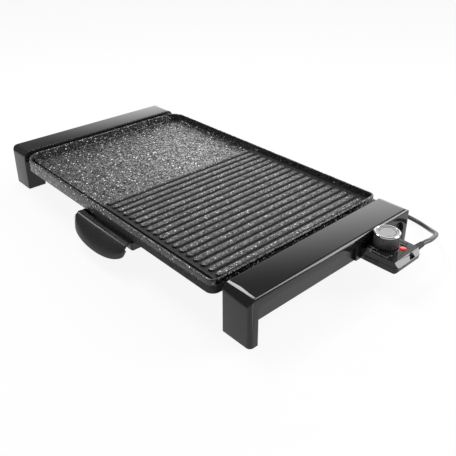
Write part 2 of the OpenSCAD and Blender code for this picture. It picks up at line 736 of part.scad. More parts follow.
module left_tray_runner() tray_runner(-1);
module right_tray_runner() tray_runner(1);

module runner_screws()
    color([0.75, 0.75, 0.74]) for (s = [-1, 1]) for (y = boss_y)
        translate([tray_x + s * runner_side, y, runner_seat_z - touch])
            screw(screw_r, small_screw_len, screw_head_r, screw_head_h);

// Drip tray
tray_setback = 7; // tray's front wall behind the handle's top edge
tray_front = grip_y + tray_setback;
tray_back = tray_front + tray_depth;
handle_screw_x = 38; // the handle's screws beside its middle
handle_screw_z = tray_z + tray_h / 2;
tray_r = 3; // radius of the tray's corners

module drip_tray()
    color([0.16, 0.16, 0.165]) difference() {
        union() {
            translate([tray_x, (tray_front + tray_back) / 2, tray_z]) linear_extrude(tray_h)
                round_rect(tray_w, tray_depth, tray_r);
            for (s = [-1, 1])
                translate([tray_x + s * tray_w / 2, (rail_start + rail_end) / 2, tray_top - rail_t / 2])
                    cube([2 * rail_lip, rail_end - rail_start, rail_t], center = true);
        }
        translate([tray_x, (tray_front + tray_back) / 2, tray_z + tray_t]) linear_extrude(tray_h)
            round_rect(tray_w - 2 * tray_t, tray_depth - 2 * tray_t, tray_r - tray_t / 2);
        for (s = [-1, 1]) translate([tray_x + s * handle_screw_x, tray_front - over, handle_screw_z])
            rotate([-90, 0, 0]) cylinder(r = screw_r + pilot, h = tray_t + 2 * over);
    }

rail_setback = 2; // front end of the tray's side lips behind the runners' front
rail_start = runner_front + rail_setback;
rail_end = tray_back - tray_r;

// Handle: a half-moon scoop that flares from a straight top edge
scoop_w = 131; // width of the scoop's top edge
scoop_shift = 0.5; // middle of the scoop beside the tray's middle
scoop_x = tray_x + scoop_shift;
scoop_below = 1.5; // scoop's top edge below the tray's rim
scoop_top = tray_top - scoop_below;
end_out_share = 0.28; // reach of the lip at the scoop's ends
end_drop_share = 0.46; // fall of the lip at the scoop's ends
scoop_bulge = 2.2; // how far the scoop's face swells between its edges
scoop_cols = 28; // faces across the scoop
scoop_rows = 6; // faces down the scoop
scoop_tuck = 5; // how far the scoop's lower corners draw in
scoop_side_share = 0.5; // share of the wall by which the scoop's ends close
handle_inset = 1; // setback of the handle's neck from its ends
handle_boss = 6; // length of the handle's screw bosses
handle_hole = 5; // depth of the holes in them

function bow(s) = sqrt(max(1 - s * s, 0));
function scoop_reach(s) = scoop_out * (end_out_share + (1 - end_out_share) * bow(s));
function scoop_fall(s) = scoop_drop * (end_drop_share + (1 - end_drop_share) * bow(s));
// Point of the scoop's outer face, s across from -1 to 1 and t down from 0 to 1
function scoop_point(s, t, d) =
    let (side = s * (scoop_w / 2 - d * scoop_side_share) - s * scoop_tuck * t * t * (1 - bow(s)))
    let (reach = scoop_reach(s), fall = scoop_fall(s), n = unit2([fall, reach]))
    let (swell = scoop_bulge * 4 * t * (1 - t) - d)
    [scoop_x + side, grip_y - reach * t - n.x * swell, scoop_top - fall * t - n.y * swell];

module scoop() {
    w = scoop_rows + 1;
    n = (scoop_cols + 1) * w;
    pts = [for (d = [0, scoop_t]) for (i = [0 : scoop_cols]) for (j = [0 : scoop_rows])
        scoop_point(2 * i / scoop_cols - 1, j / scoop_rows, d)];
    outer = [for (i = [0 : scoop_cols - 1]) for (j = [0 : scoop_rows - 1])
        let (a = i * w + j) each [[a, a + w, a + 1], [a + 1, a + w, a + w + 1]]];
    inner = [for (f = outer) [f[2] + n, f[1] + n, f[0] + n]];
    ends = [for (j = [0 : scoop_rows - 1]) let (b = scoop_cols * w)
        each [[j, j + 1, j + n], [j + 1, j + 1 + n, j + n],
              [b + j, b + j + n, b + j + 1], [b + j + 1, b + j + n, b + j + 1 + n]]];
    edges = [for (i = [0 : scoop_cols - 1]) let (a = i * w, b = a + scoop_rows)
        each [[a, a + n, a + w], [a + w, a + n, a + w + n],
              [b, b + w, b + n], [b + w, b + w + n, b + n]]];
    polyhedron(pts, concat(outer, inner, ends, edges));
}

handle_back = tray_front - seat; // back of the handle against the tray
neck_w = scoop_w - 2 * handle_inset; // width of the handle's neck

module tray_handle()
    color([0.07, 0.07, 0.075]) difference() {
        union() {
            scoop();
            translate([scoop_x - neck_w / 2, grip_y - handle_inset, scoop_top - scoop_t])
                cube([neck_w, handle_back - grip_y + handle_inset, scoop_t]);
            translate([scoop_x - neck_w / 2, handle_back - scoop_t, tray_z + handle_inset])
                cube([neck_w, scoop_t, scoop_top - tray_z - handle_inset]);
            for (s = [-1, 1])
                translate([tray_x + s * handle_screw_x, handle_back - handle_boss, handle_screw_z])
                    rotate([-90, 0, 0]) cylinder(r = screw_r + boss_wall, h = handle_boss);
        }
        for (s = [-1, 1]) translate([tray_x + s * handle_screw_x, handle_back - handle_hole, handle_screw_z])
            rotate([-90, 0, 0]) cylinder(r = screw_r + pilot, h = handle_hole + over);
    }

module handle_screws()
    color([0.75, 0.75, 0.74]) for (s = [-1, 1])
        translate([tray_x + s * handle_screw_x, tray_front + tray_t + touch, handle_screw_z])
            rotate([90, 0, 0]) screw(screw_r, small_screw_len, screw_head_r, screw_head_h);

// Controller: a flat wedge-nosed housing of two shells
bevel_run = 5.5; // run of the bevel at the controller's nose
taper = 1.6; // how much narrower each side is at the nose
nose_r = 6; // rounding below the nose and at its plan corners
side_r = 1.6; // rounding of the long lower edges
split_z = plug_z;
lamp_in = 39.6; // indicator's distance from the socket end
lamp_side = 8.8; // indicator's distance from the middle
knob_in = 18.7; // knob's distance from the socket end
lamp_x = ctrl_x + lamp_in;
lamp_y = ctrl_y + lamp_side;
knob_x = ctrl_x + knob_in;
notch_r = 5.6; // radius of the half-round notch in the nose
notch_wall = 1.32; // wall round the notch
notch_out = 0.4; // notch's centre beyond the nose
notch_x = nose_x + notch_out;
ridge_len = 40; // length of the raised ridges on the cover
ridge_w = 4.2; // width of a raised ridge
ridge_h = 1; // height of a raised ridge
ridge_y = 17.6; // inner ridge beside the controller's middle
ridge_step = 5.8; // from one ridge to the next
grip_count = 10; // number of small grip ribs on each side
grip_pitch = 2.4; // spacing of the grip ribs
grip_rib_h = 10; // height of a grip rib
grip_start = 7; // first grip rib from the controller's socket end
grip_rib_r = 0.8; // radius of a grip rib
wall_hole_r = 4; // hole in the housing's side for the lead's relief
relief_in = 43.5; // strain relief's distance from the socket end
relief_rise = 7.6; // strain relief's height above the housing's floor
relief_x = ctrl_x + relief_in;
relief_z = ctrl_z + relief_rise;
ctrl_side = ctrl_w / 2 - taper * (relief_x - ctrl_x) / (ctrl_len - nose_r);
side_y = ctrl_y + ctrl_side;
post_r = 3; // radius of the screw posts inside the housing
post_in = 7; // posts' distance from the housing's long faces
post_near = 16; // first posts' distance from the socket end
post_far = [45.5, 34]; // front and back far posts' distance from it
post_far_in = 7.4; // front far post's distance from the long face
ctrl_posts = [[ctrl_x + post_near, ctrl_y - ctrl_w / 2 + post_in],
    [ctrl_x + post_near, ctrl_y + ctrl_w / 2 - post_in],
    [ctrl_x + post_far[0], ctrl_y - ctrl_w / 2 + post_far_in],
    [ctrl_x + post_far[1], ctrl_y + ctrl_w / 2 - post_in]];

// Plan of the housing, i in from its faces
module ctrl_plan(i) {
    w0 = ctrl_w / 2 - i;
    w1 = w0 - taper;
    r = nose_r - i / 2;
    x1 = nose_x - i;
    translate([0, ctrl_y]) polygon(concat([[ctrl_x + i, -w0]],
        arc([x1 - r, -w1 + r], r, -90, 0), arc([x1 - r, w1 - r], r, 0, 90),
        [[ctrl_x + i, w0]]));
}

// Side view of the housing, i in from its faces
module ctrl_side_view(i)
    polygon(concat([[ctrl_x + i, ctrl_z + i]],
        arc([nose_x - i - nose_r, ctrl_z + i + nose_r], nose_r, -90, 0),
        [[nose_x - i, split_z], [nose_x - bevel_run - i, ctrl_top - i], [ctrl_x + i, ctrl_top - i]]));

// End view of the housing, i in from its faces
module ctrl_end_view(i)
    round_top(-ctrl_w / 2 + i, ctrl_w / 2 - i, -ctrl_top + i, -ctrl_z - i, side_r, side_r);

module ctrl_form(i)
    intersection() {
        translate([0, 0, ctrl_z]) linear_extrude(ctrl_h) ctrl_plan(i);
        translate([0, ctrl_y + ctrl_w / 2, 0]) rotate([90, 0, 0]) linear_extrude(ctrl_w) ctrl_side_view(i);
        translate([ctrl_x, ctrl_y, 0]) rotate([90, 0, 90]) mirror([0, 1]) linear_extrude(ctrl_len)
            ctrl_end_view(i);
    }

module ctrl_half(z0, z1)
    translate([ctrl_x - over, ctrl_y - ctrl_w, z0]) cube([ctrl_len + 2 * over, 2 * ctrl_w, z1 - z0]);

// Openings that both shells share
module ctrl_openings() {
    translate([ctrl_x - over, ctrl_y - nose_w / 2 - touch, plug_z - nose_h / 2 - touch])
        cube([ctrl_t + 2 * over, nose_w + 2 * touch, nose_h + 2 * touch]);
    translate([relief_x, ctrl_y, relief_z]) rotate([-90, 0, 0]) cylinder(r = wall_hole_r + touch, h = ctrl_w);
}

module grip_ribs()
    for (s = [-1, 1]) for (k = [0 : grip_count - 1]) {
        x = grip_start + k * grip_pitch;
        translate([ctrl_x + x, ctrl_y + s * (ctrl_w / 2 - taper * x / ctrl_len), ctrl_z + side_r])
            cylinder(r = grip_rib_r, h = split_z - touch - ctrl_z - side_r);
    }

module controller_base()
    color([0.05, 0.05, 0.055]) difference() {
        union() {
            difference() {
                intersection() {
                    ctrl_form(0);
                    ctrl_half(ctrl_z - over, split_z - touch);
                }
                ctrl_form(ctrl_t);
            }
            grip_ribs();
            for (p = ctrl_posts) translate([p.x, p.y, ctrl_z + ctrl_t / 2])
                cylinder(r = post_r, h = split_z - touch - ctrl_z - ctrl_t / 2);
            translate([lamp_x, lamp_y, ctrl_z + ctrl_t / 2])
                cylinder(r = bulb_r + bulb_gap, h = bulb_z - touch - ctrl_z - ctrl_t / 2);
        }
        ctrl_openings();
        for (p = ctrl_posts) translate([p.x, p.y, ctrl_z - over]) {
            cylinder(r = screw_r + pilot, h = ctrl_h);
            cylinder(r = screw_head_r + pilot, h = over + screw_head_h + touch);
        }
    }

collar_r = 20.5; // radius of the raised collar round the knob
lens_gap = 0.1; // gap round the indicator's window

module controller_cover()
    color([0.05, 0.05, 0.055]) difference() {
        union() {
            difference() {
                intersection() {
                    ctrl_form(0);
                    ctrl_half(split_z, ctrl_top + over);
                }
                difference() {
                    ctrl_form(ctrl_t);
                    translate([notch_x, lamp_y, 0]) cylinder(r = notch_r + notch_wall, h = ctrl_top);
                }
            }
            for (s = [-1, 1]) for (k = [0, 1])
                translate([ctrl_x + ridge_r, ctrl_y + s * (ridge_y + k * ridge_step) - ridge_w / 2,
                    ctrl_top - sink])
                    cube([ridge_len - k * ridge_r - ridge_r, ridge_w, ridge_h + sink]);
            intersection() {
                translate([knob_x, ctrl_y, ctrl_top - sink]) cylinder(r = collar_r, h = ridge_h + sink);
                linear_extrude(bridge_h) ctrl_plan(ridge_r / 2);
            }
            translate([knob_x, ctrl_y, ctrl_top - ctrl_t - bush_len])
                cylinder(r = spindle_r + boss_wall, h = bush_len + ctrl_t);
            for (p = ctrl_posts) translate([p.x, p.y, split_z])
                cylinder(r = post_r, h = ctrl_top - split_z - ctrl_t / 2);
        }
        ctrl_openings();
        translate([notch_x, lamp_y, split_z + over]) cylinder(r = notch_r, h = ctrl_h);
        translate([lamp_x, lamp_y, split_z]) cylinder(r = lamp_d / 2 + lens_gap, h = ctrl_h);
        translate([knob_x, ctrl_y, split_z]) cylinder(r = spindle_r + run, h = ctrl_h);
        for (p = ctrl_posts) translate([p.x, p.y, split_z - over])
            cylinder(r = screw_r + pilot, h = post_screw_len - (split_z - ctrl_z - screw_head_h) + 2 * over);
    }

ridge_r = 2; // setback of the ridges' ends
bush_len = 1.5; // spindle bush below the cover
spindle_r = 3; // radius of the knob's spindle
post_screw_len = 11; // length of the housing's screws

module controller_screws()
    color([0.35, 0.35, 0.36]) for (p = ctrl_posts) translate([p.x, p.y, ctrl_z + screw_head_h])
        screw(screw_r, post_screw_len, screw_head_r, screw_head_h - touch);

lens_rise = 0.6; // rise of the window above the cover
lens_t = 2.4; // depth of the window below the cover's top

module indicator_lens()
    color([0.75, 0.08, 0.06]) translate([lamp_x, lamp_y, ctrl_top - lens_t]) {
        cylinder(d = lamp_d, h = lens_t + lens_rise / 2);
        translate([0, 0, lens_t + lens_rise / 2])
            cylinder(d1 = lamp_d, d2 = lamp_d - 2 * lens_rise, h = lens_rise / 2);
    }

bulb_r = 2.3; // radius of the neon lamp
bulb_gap = 1; // gap round and below the neon lamp
bulb_z = ctrl_z + ctrl_t + bulb_gap;
bulb_len = 9; // height of the neon lamp

module indicator_lamp()
    color([0.95, 0.55, 0.30]) translate([lamp_x, lamp_y, bulb_z]) {
        cylinder(r = bulb_r, h = bulb_len - bulb_r);
        translate([0, 0, bulb_len - bulb_r]) sphere(bulb_r);
    }

stat_x = 24; // length of the thermostat's body
stat_y = 24; // width of the thermostat's body
stat_h = 8.6; // height of the thermostat's body
stat_wall = 2.5; // wall of the thermostat's neck
stat_neck = 1.2; // height of the thermostat's neck
probe_seat = 10 / 3; // depth of the probe in the thermostat

module thermostat_body()
    color([0.86, 0.84, 0.78])
        translate([knob_x - stat_x / 2, ctrl_y - stat_y / 2, ctrl_z + ctrl_t + touch]) difference() {
        union() {
            cube([stat_x, stat_y, stat_h]);
            translate([stat_x / 2, stat_y / 2, 0])
                cylinder(r = spindle_r + stat_wall, h = stat_h + stat_neck);
        }
        translate([stat_x / 2, stat_y / 2, stat_h / 2]) cylinder(r = spindle_r + run, h = stat_h);
        translate([-over, stat_y / 2, plug_z - ctrl_z - ctrl_t - touch]) rotate([0, 90, 0])
            cylinder(r = probe_d / 2 + touch, h = over + probe_seat);
    }

probe_end_gap = 2; // gap between the probe's tip and its sleeve's end
probe_x = sleeve_x - sleeve_len + sleeve_wall + probe_end_gap;

module probe_rod()
    color([0.80, 0.80, 0.80]) translate([probe_x, ctrl_y, plug_z]) rotate([0, 90, 0]) {
        r = probe_d / 2;
        translate([0, 0, r]) sphere(r);
        translate([0, 0, r]) cylinder(r = r, h = knob_x - stat_x / 2 + probe_seat - touch - probe_x - r);
    }

block_in = 5; // how far the contact block reaches into the housing
block_x = ctrl_x - nose_len;
tube_wall = 0.7; // wall of a contact tube
tube_len = 18; // length of a contact tube
tube_in = 1; // setback of a contact tube in its block
tube_r = pin_d / 2 + run + tube_wall;

module contact_block()
    color([0.20, 0.15, 0.11]) difference() {
        translate([block_x, ctrl_y - nose_w / 2, plug_z - nose_h / 2])
            cube([nose_len + block_in, nose_w, nose_h]);
        for (s = [-1, 1]) translate([block_x - over, ctrl_y + s * pin_gap / 2, plug_z]) rotate([0, 90, 0])
            cylinder(r = tube_r + touch, h = nose_len + block_in + 2 * over);
        translate([block_x - over, ctrl_y, plug_z]) rotate([0, 90, 0])
            cylinder(r = probe_d / 2 + touch, h = nose_len + block_in + 2 * over);
    }

module socket_contacts()
    color([0.80, 0.68, 0.38]) for (s = [-1, 1])
        translate([block_x + tube_in, ctrl_y + s * pin_gap / 2, plug_z]) rotate([0, 90, 0]) difference() {
            cylinder(r = tube_r, h = tube_len);
            translate([0, 0, -over]) cylinder(r = pin_d / 2 + run, h = tube_len - tube_wall);
        }

wire_r = 1.1; // radius of an insulated wire
wire_low = 3; // wires below the plug's middle
wire_z = plug_z - wire_low;
wire_bend = 3; // bend radius of the wires
wire_in = 8; // wires' ends inside the housing's long face
wire_share = 1.5; // wires' spacing, as a share of their radius
wire_sides = 8; // faces round a wire
wire_start = ctrl_y + ctrl_w / 2 - wire_in;
wire_end = block_x + nose_len + block_in + touch;

module controller_leads()
    color([0.35, 0.20, 0.12]) for (s = [-1, 1]) {
        x = relief_x - s * wire_r * wire_share;
        y = ctrl_y + s * pin_gap / 2;
        tube(bent_path([[x, wire_start], [x, y], [wire_end, y]], wire_bend, wire_z),
            wire_r, wire_sides, [0, -1, 0], [-1, 0, 0]);
    }

// Strain relief: a tapered, grooved sleeve
relief_r = 5.3; // radius of the relief at the housing
relief_flange = 1.2; // thickness of the relief's flanges
relief_grooves = 5; // grooves round the relief
relief_wall = 0.6; // wall of the relief at its thin end
groove_r = 0.9; // radius of a groove in the relief or the plug's neck
relief_end = side_y + relief_len;

module strain_relief()
    color([0.10, 0.10, 0.10]) translate([relief_x, side_y - ctrl_t - relief_flange, relief_z])
        rotate([-90, 0, 0]) difference() {
            neck = relief_flange + ctrl_t;
            union() {
                cylinder(r = wall_hole_r + relief_flange / 2, h = relief_flange - seat);
                cylinder(r = wall_hole_r, h = neck + seat + sink);
                translate([0, 0, neck + seat])
                    cylinder(r1 = relief_r, r2 = cord_d / 2 + relief_wall, h = relief_len - seat);
            }
            for (k = [1 : relief_grooves]) translate([0, 0, neck + k * relief_len / (relief_grooves + 1)])
                rotate_extrude()
                    translate([relief_r + groove_r / 2 - k * (relief_r - cord_d / 2 - relief_wall)
                        / (relief_grooves + 1), 0]) circle(groove_r);
        }

// Mains lead: one swept tube from the relief, down to the table and behind
// the grill, then a coil of two layers held by a tie
rest_z = 4.5; // height of the lead's middle where it lies
layer_gap = 0.45; // gap between the coil's two layers
layer_step = cord_d + layer_gap;
coil_turns = 4.5; // turns in the coil
coil_x = 60; // place of the coil's middle along the grill
coil_y = 205; // place of the coil's middle, front to back
loop_rings = 24; // rings in each turn
tail_len = 18; // straight end of the coil's last turn
swing_len = 66; // stretch in which the lead swings back, clear of the bridge's leg
swing_side = 23; // how far back it swings
swing_rings = 10; // rings in that stretch
climb_share = 0.5; // share of a turn in which the coil climbs a layer
coil_sides = 6; // faces round the coil's tube
coil_r_out = coil_r_in + coil_pitch * coil_turns / 2;
coil_start = [coil_x + cord_d, coil_y + coil_r_out, rest_z];
cord_path = [[relief_x, relief_end, relief_z], [356, 138, 45.2], [356.5, 148, 43.8], [354.5, 160, 41],
    [350, 175, 36], [344, 190, 29.5], [336.5, 204, 22.5], [327, 216.5, 15.5], [315.5, 227.5, 9.8],
    [301, 236.5, 6.3], [284, 243, 4.8], [264, 246.5, 4.5], [240, 248.6, 4.5], [214, 249.6, 4.5],
    [186, 249.6, 4.5], [158, 248.9, 4.5], [130, 248, 4.5], [104, coil_start.y, rest_z],
    [84, coil_start.y, rest_z], coil_start];
cord_sides = 10; // faces round the lead's tube
rings_per_point = 3; // rings between two points of the lead's route

function unit3(v) = v / norm(v);
// A smooth curve through the route's points
function spline(a, b, c, d, t) =
    0.5 * (2 * b + (c - a) * t + (2 * a - 5 * b + 4 * c - d) * t * t
        + (3 * b - a - 3 * c + d) * t * t * t);
function smooth_path(p, n) = let (last = len(p) - 1) concat(
    [for (i = [0 : last - 1]) for (k = [0 : n - 1])
        spline(i == 0 ? 2 * p[0] - p[1] : p[i - 1], p[i], p[i + 1],
            i == last - 1 ? 2 * p[last] - p[last - 1] : p[i + 2], k / n)], [p[last]]);

// A tube swept along level or sloping points
module tube(p, r, sides, first, final) {
    n = len(p);
    dirs = [for (i = [0 : n - 1]) i == 0 ? first : i == n - 1 ? final : unit3(p[i + 1] - p[i - 1])];
    pts = [for (i = [0 : n - 1]) let (u = unit3(cross(dirs[i], [0, 0, 1])), v = cross(u, dirs[i]))
        for (k = [0 : sides - 1]) p[i] + r * (cos(360 * k / sides) * u + sin(360 * k / sides) * v)];
    sides_faces = [for (i = [0 : n - 2]) for (k = [0 : sides - 1])
        let (a = i * sides + k, b = i * sides + (k + 1) % sides)
        each [[a, b, a + sides], [b, b + sides, a + sides]]];
    caps = [for (k = [1 : sides - 2]) each [[0, k + 1, k],
        [(n - 1) * sides, (n - 1) * sides + k, (n - 1) * sides + k + 1]]];
    polyhedron(pts, concat(sides_faces, caps));
}

module power_cord()
    color([0.10, 0.10, 0.105])
        tube(smooth_path(cord_path, rings_per_point), cord_d / 2, cord_sides, [0, 1, 0], [-1, 0, 0]);

// The coil spirals in on the table, climbs a layer in the half turn where it
// reverses, and spirals out again on top
function coil_r(t) = coil_r_in + coil_pitch * abs(t - coil_turns / 2);
function coil_rise(t) =
    let (s = max(0, min(1, (t - coil_turns / 2) / climb_share + 1 / 2))) layer_step * s * s * (3 - 2 * s);
coil_rings = coil_turns * loop_rings;
coil_path = concat([coil_start],
    [for (i = [0 : coil_rings]) let (t = i / loop_rings, a = 90 + 360 * t)
        [coil_x + coil_r(t) * cos(a), coil_y + coil_r(t) * sin(a), rest_z + coil_rise(t)]],
    [for (i = [0 : swing_rings]) let (t = i / swing_rings)
        [coil_x + tail_len + swing_len * t, coil_y - coil_r_out + swing_side * t * t * (3 - 2 * t),
            rest_z + layer_step]]);
coil_last = len(coil_path) - 1;
coil_gaps = [for (i = [0 : coil_last]) for (j = [i + loop_rings / 2 : 1 : coil_last])
    norm(coil_path[i] - coil_path[j])];
echo(least_gap_in_coil = min(coil_gaps) - cord_d);

module cord_coil()
    color([0.10, 0.10, 0.105]) tube(coil_path, cord_d / 2, coil_sides, [-1, 0, 0], [1, 0, 0]);

// Tie: a flat band round the coil's turns
tie_w = 5; // width of the tie
tie_t = 0.8; // thickness of the tie
tie_gap = 0.25; // gap between the tie and the turns

module cord_tie() {
    w = coil_pitch * coil_turns / 2 + cord_d + 2 * tie_gap;
    h = layer_step + cord_d + 2 * tie_gap;
    color([0.85, 0.85, 0.83])
        translate([coil_x - (coil_r_in + coil_r_out) / 2, coil_y + tie_w / 2, rest_z + layer_step / 2])
        rotate([90, 0, 0]) linear_extrude(tie_w) difference() {
            square([w + 2 * tie_t, h + 2 * tie_t], center = true);
            square([w, h], center = true);
        }
}

// Mains plug, lying flat beside the coil
plug_x = coil_x + tail_len + swing_len;
plug_y = coil_y - coil_r_out + swing_side;
plug_h_z = rest_z + layer_step;
plug_w = 36; // width of the plug's face
plug_t = 23; // thickness of the plug
plug_neck = 14; // length of the plug's ribbed neck
neck_r = cord_d / 2 + relief_wall;
neck_grooves = 4; // grooves round the plug's neck
plug_taper = 10; // length of the plug's shoulder
tip_share = 0.6; // end of a plug pin, as a share of its diameter
plug_face = 14; // length of the plug's straight front
plug_edge = 1; // step round the plug's front face
plug_sides = 32; // faces round the plug's shoulder
shoulder_r = plug_t / 3; // radius of the neck at the shoulder
plug_front = plug_x + plug_neck + plug_taper + plug_face;

module plug_section(len, i)
    rotate([90, 0, 90]) linear_extrude(len)
        round_rect(plug_w - 2 * i, plug_t - 2 * i, plug_t / 2 - i - plug_edge);

module plug_body()
    color([0.10, 0.10, 0.105]) translate([plug_x, plug_y, plug_h_z]) {
        difference() {
            rotate([0, 90, 0]) cylinder(r1 = neck_r, r2 = shoulder_r, h = plug_neck);
            for (k = [1 : neck_grooves]) translate([k * plug_neck / (neck_grooves + 1), 0, 0])
                rotate([0, 90, 0]) rotate_extrude()
                    translate([neck_r + k * (shoulder_r - neck_r) / (neck_grooves + 1) + groove_r / 2, 0])
                        circle(groove_r);
        }
        translate([plug_neck, 0, 0]) hull() {
            rotate([0, 90, 0]) cylinder(r = shoulder_r, h = sink, $fn = plug_sides);
            translate([plug_taper - sink, 0, 0]) plug_section(sink, 0, $fn = plug_sides);
        }
        translate([plug_neck + plug_taper, 0, 0]) plug_section(plug_face - plug_edge, 0);
        translate([plug_neck + plug_taper, 0, 0]) plug_section(plug_face, plug_edge);
    }

module plug_pins()
    color([0.82, 0.82, 0.83]) for (s = [-1, 1])
        translate([plug_front, plug_y + s * plug_pin_gap / 2, plug_h_z]) rotate([0, 90, 0]) {
            cylinder(d = plug_pin_d, h = plug_pin_len - plug_pin_d / 4);
            translate([0, 0, plug_pin_len - plug_pin_d / 4])
                cylinder(d1 = plug_pin_d, d2 = plug_pin_d * tip_share, h = plug_pin_d / 4);
        }

// Knob
knob_gap = 0.5; // gap between the knob and its collar
knob_z = ctrl_top + ridge_h + knob_gap;
knob_top = ctrl_top + knob_h;
ring_h = 2.2; // height of the knob's bright ring
ring_w = 2.6; // width of the knob's bright ring
flute_r = 1; // radius of a flute
disc_drop = 0.7; // depth of the disc below the ring
knob_wall = 2; // wall of the knob's grip
knob_edge = 0.4; // bevel below the grip, and overhang of the ring
hub_wall = 3; // wall of the knob's hub
knob_roof = 3; // thickness of the knob below its ring
flute_share = 0.35; // flutes' centres outside the grip, as a share of their radius
ring_shares = [0.6, 0.3, 0.8, 0.7]; // the ring's section, as shares of its height and width

grip_h = knob_top - ring_h - touch - knob_z; // height of the knob's grip

module knob_body()
    color([0.06, 0.06, 0.065]) difference() {
        union() {
            translate([knob_x, ctrl_y, knob_z]) rotate_extrude() difference() {
                polygon([[0, 0], [knob_d / 2 - knob_edge, 0], [knob_d / 2, knob_edge],
                    [knob_d / 2, grip_h], [0, grip_h]]);
                translate([spindle_r + hub_wall, -over])
                    square([knob_d / 2 - knob_wall - spindle_r - hub_wall,
                        grip_h + touch - knob_roof + over]);
            }
        }
        translate([knob_x, ctrl_y, knob_z - over])
            cylinder(r = spindle_r + touch, h = spindle_top + touch - knob_z + over);
        for (k = [0 : flute_count - 1]) translate([knob_x, ctrl_y, knob_z - over])
            rotate(k * 360 / flute_count) translate([knob_d / 2 + flute_r * flute_share, 0, 0])
                cylinder(r = flute_r, h = knob_h);
    }

module knob_ring()
    color([0.80, 0.80, 0.81]) translate([knob_x, ctrl_y, knob_top - ring_h]) rotate_extrude()
        polygon([[knob_d / 2 - ring_w, 0], [knob_d / 2 + knob_edge, 0],
            [knob_d / 2 + knob_edge, ring_h * ring_shares[0]],
            [knob_d / 2 - ring_w * ring_shares[1], ring_h], [knob_d / 2 - ring_w * ring_shares[2], ring_h],
            [knob_d / 2 - ring_w, ring_h * ring_shares[3]]]);

module knob_disc()
    color([0.55, 0.55, 0.56]) translate([knob_x, ctrl_y, knob_top - ring_h])
        cylinder(r = knob_d / 2 - ring_w - touch, h = ring_h - disc_drop);

spindle_cover = 3.5; // knob above the end of its spindle, below the ring
spindle_top = knob_top - ring_h - spindle_cover;
spindle_low = ctrl_z + ctrl_t + stat_h / 2 + 2 * touch;

module knob_spindle()
    color([0.75, 0.75, 0.75]) translate([knob_x, ctrl_y, spindle_low])
        cylinder(r = spindle_r, h = spindle_top - spindle_low);

// Everything is placed so that the grill's own middle, at the table, is the origin
module placed() translate([-mid_x, -mid_y, 0]) children();
placed() grill_plate();
placed() heating_element();
placed() element_clamps();
placed() clamp_screws();
placed() terminal_studs();
placed() left_bridge();
placed() right_bridge();
placed() left_carrier();
placed() right_carrier();
placed() plate_screws();
placed() cover_screws();
placed() rubber_feet();
placed() controller_socket();
placed() terminal_pins();
placed() socket_screws();
placed() probe_sleeve();
placed() left_tray_runner();
placed() right_tray_runner();
placed() runner_screws();
placed() drip_tray();
placed() tray_handle();
placed() handle_screws();
placed() controller_base();
placed() controller_cover();
placed() indicator_lens();
placed() indicator_lamp();
placed() thermostat_body();
placed() probe_rod();
placed() contact_block();
placed() socket_contacts();
placed() controller_leads();
placed() controller_screws();
placed() strain_relief();
placed() power_cord();
placed() cord_coil();
placed() cord_tie();
placed() plug_body();
placed() plug_pins();
placed() knob_body();
placed() knob_ring();
placed() knob_disc();
placed() knob_spindle();
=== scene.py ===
# %% [markdown]
# An electric table grill, dressed for its photograph.
# The grill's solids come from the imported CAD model, and they stay where they are.
# This lesson gives them materials, replaces the few whose shape a finer surface
# shows better, and sets up the light and the camera.
# Every length is in metres unless its name or comment says millimetres.

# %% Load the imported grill
import json
import math

import bpy
import numpy as np
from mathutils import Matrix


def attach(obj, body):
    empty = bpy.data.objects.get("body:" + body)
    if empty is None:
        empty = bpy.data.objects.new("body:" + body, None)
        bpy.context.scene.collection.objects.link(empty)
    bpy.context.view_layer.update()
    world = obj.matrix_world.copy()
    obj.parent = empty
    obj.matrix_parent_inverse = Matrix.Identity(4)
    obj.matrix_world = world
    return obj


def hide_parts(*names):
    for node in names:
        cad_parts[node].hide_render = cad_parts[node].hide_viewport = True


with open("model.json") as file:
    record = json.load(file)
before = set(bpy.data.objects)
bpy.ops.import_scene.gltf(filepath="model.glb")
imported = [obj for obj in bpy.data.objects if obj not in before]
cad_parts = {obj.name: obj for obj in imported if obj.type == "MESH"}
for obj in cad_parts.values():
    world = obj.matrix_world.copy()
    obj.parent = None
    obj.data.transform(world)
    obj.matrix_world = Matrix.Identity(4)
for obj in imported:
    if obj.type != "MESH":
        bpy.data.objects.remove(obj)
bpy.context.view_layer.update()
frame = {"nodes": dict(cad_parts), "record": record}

nodes = frame["nodes"]

# %% [markdown]
# The CAD source draws the grill round the middle of its plate, in millimetres,
# and then moves it so that the whole grill stands round the origin.
# One helper does the same here, so the drawing's own numbers can be used: whatever
# goes through it is in the drawing's millimetres.

# %% From drawing millimetres to metres
DRAWING_MIDDLE = np.array([33.0, -14.0, 0.0])


def at(points):
    """Place in the frame: (drawing point - the drawing's middle) / 1000."""
    return (np.asarray(points, float) - DRAWING_MIDDLE) / 1000


print("the plate's middle is at", at([0, 0, 0]))

# %% [markdown]
# The camera stands at the front right, a little over half a metre up.
# Its place, turn, tilt and lens were worked out from the plate's and the bridges'
# straight edges. The photograph is cropped, so its middle lies below the lens axis,
# and a small vertical shift takes up the rest of that.

# %% Set up the camera
lens = bpy.data.cameras.new("photo_camera")
lens.lens, lens.sensor_width, lens.shift_y = 47.75, 36.0, -0.10
lens.clip_start, lens.clip_end = 0.05, 20.0
camera = bpy.data.objects.new("photo_camera", lens)
camera.location = (0.66663, -0.53945, 0.50066)
camera.rotation_euler = (math.radians(90 - 26.698), 0.0, math.radians(47.499))
bpy.context.scene.collection.objects.link(camera)
bpy.context.scene.camera = camera
bpy.context.scene.view_settings.view_transform = "Standard"
print("camera", round(camera.location.length, 3), "m from the origin")

# %% [markdown]
# New pieces are made from grids of points: rows along one direction, columns along
# the other. The same few lines turn any grid into faces, whether it is open like a
# sheet, or closed round like a tube with its ends capped.
# The grid's own two directions become a UV map, which a pattern can follow.

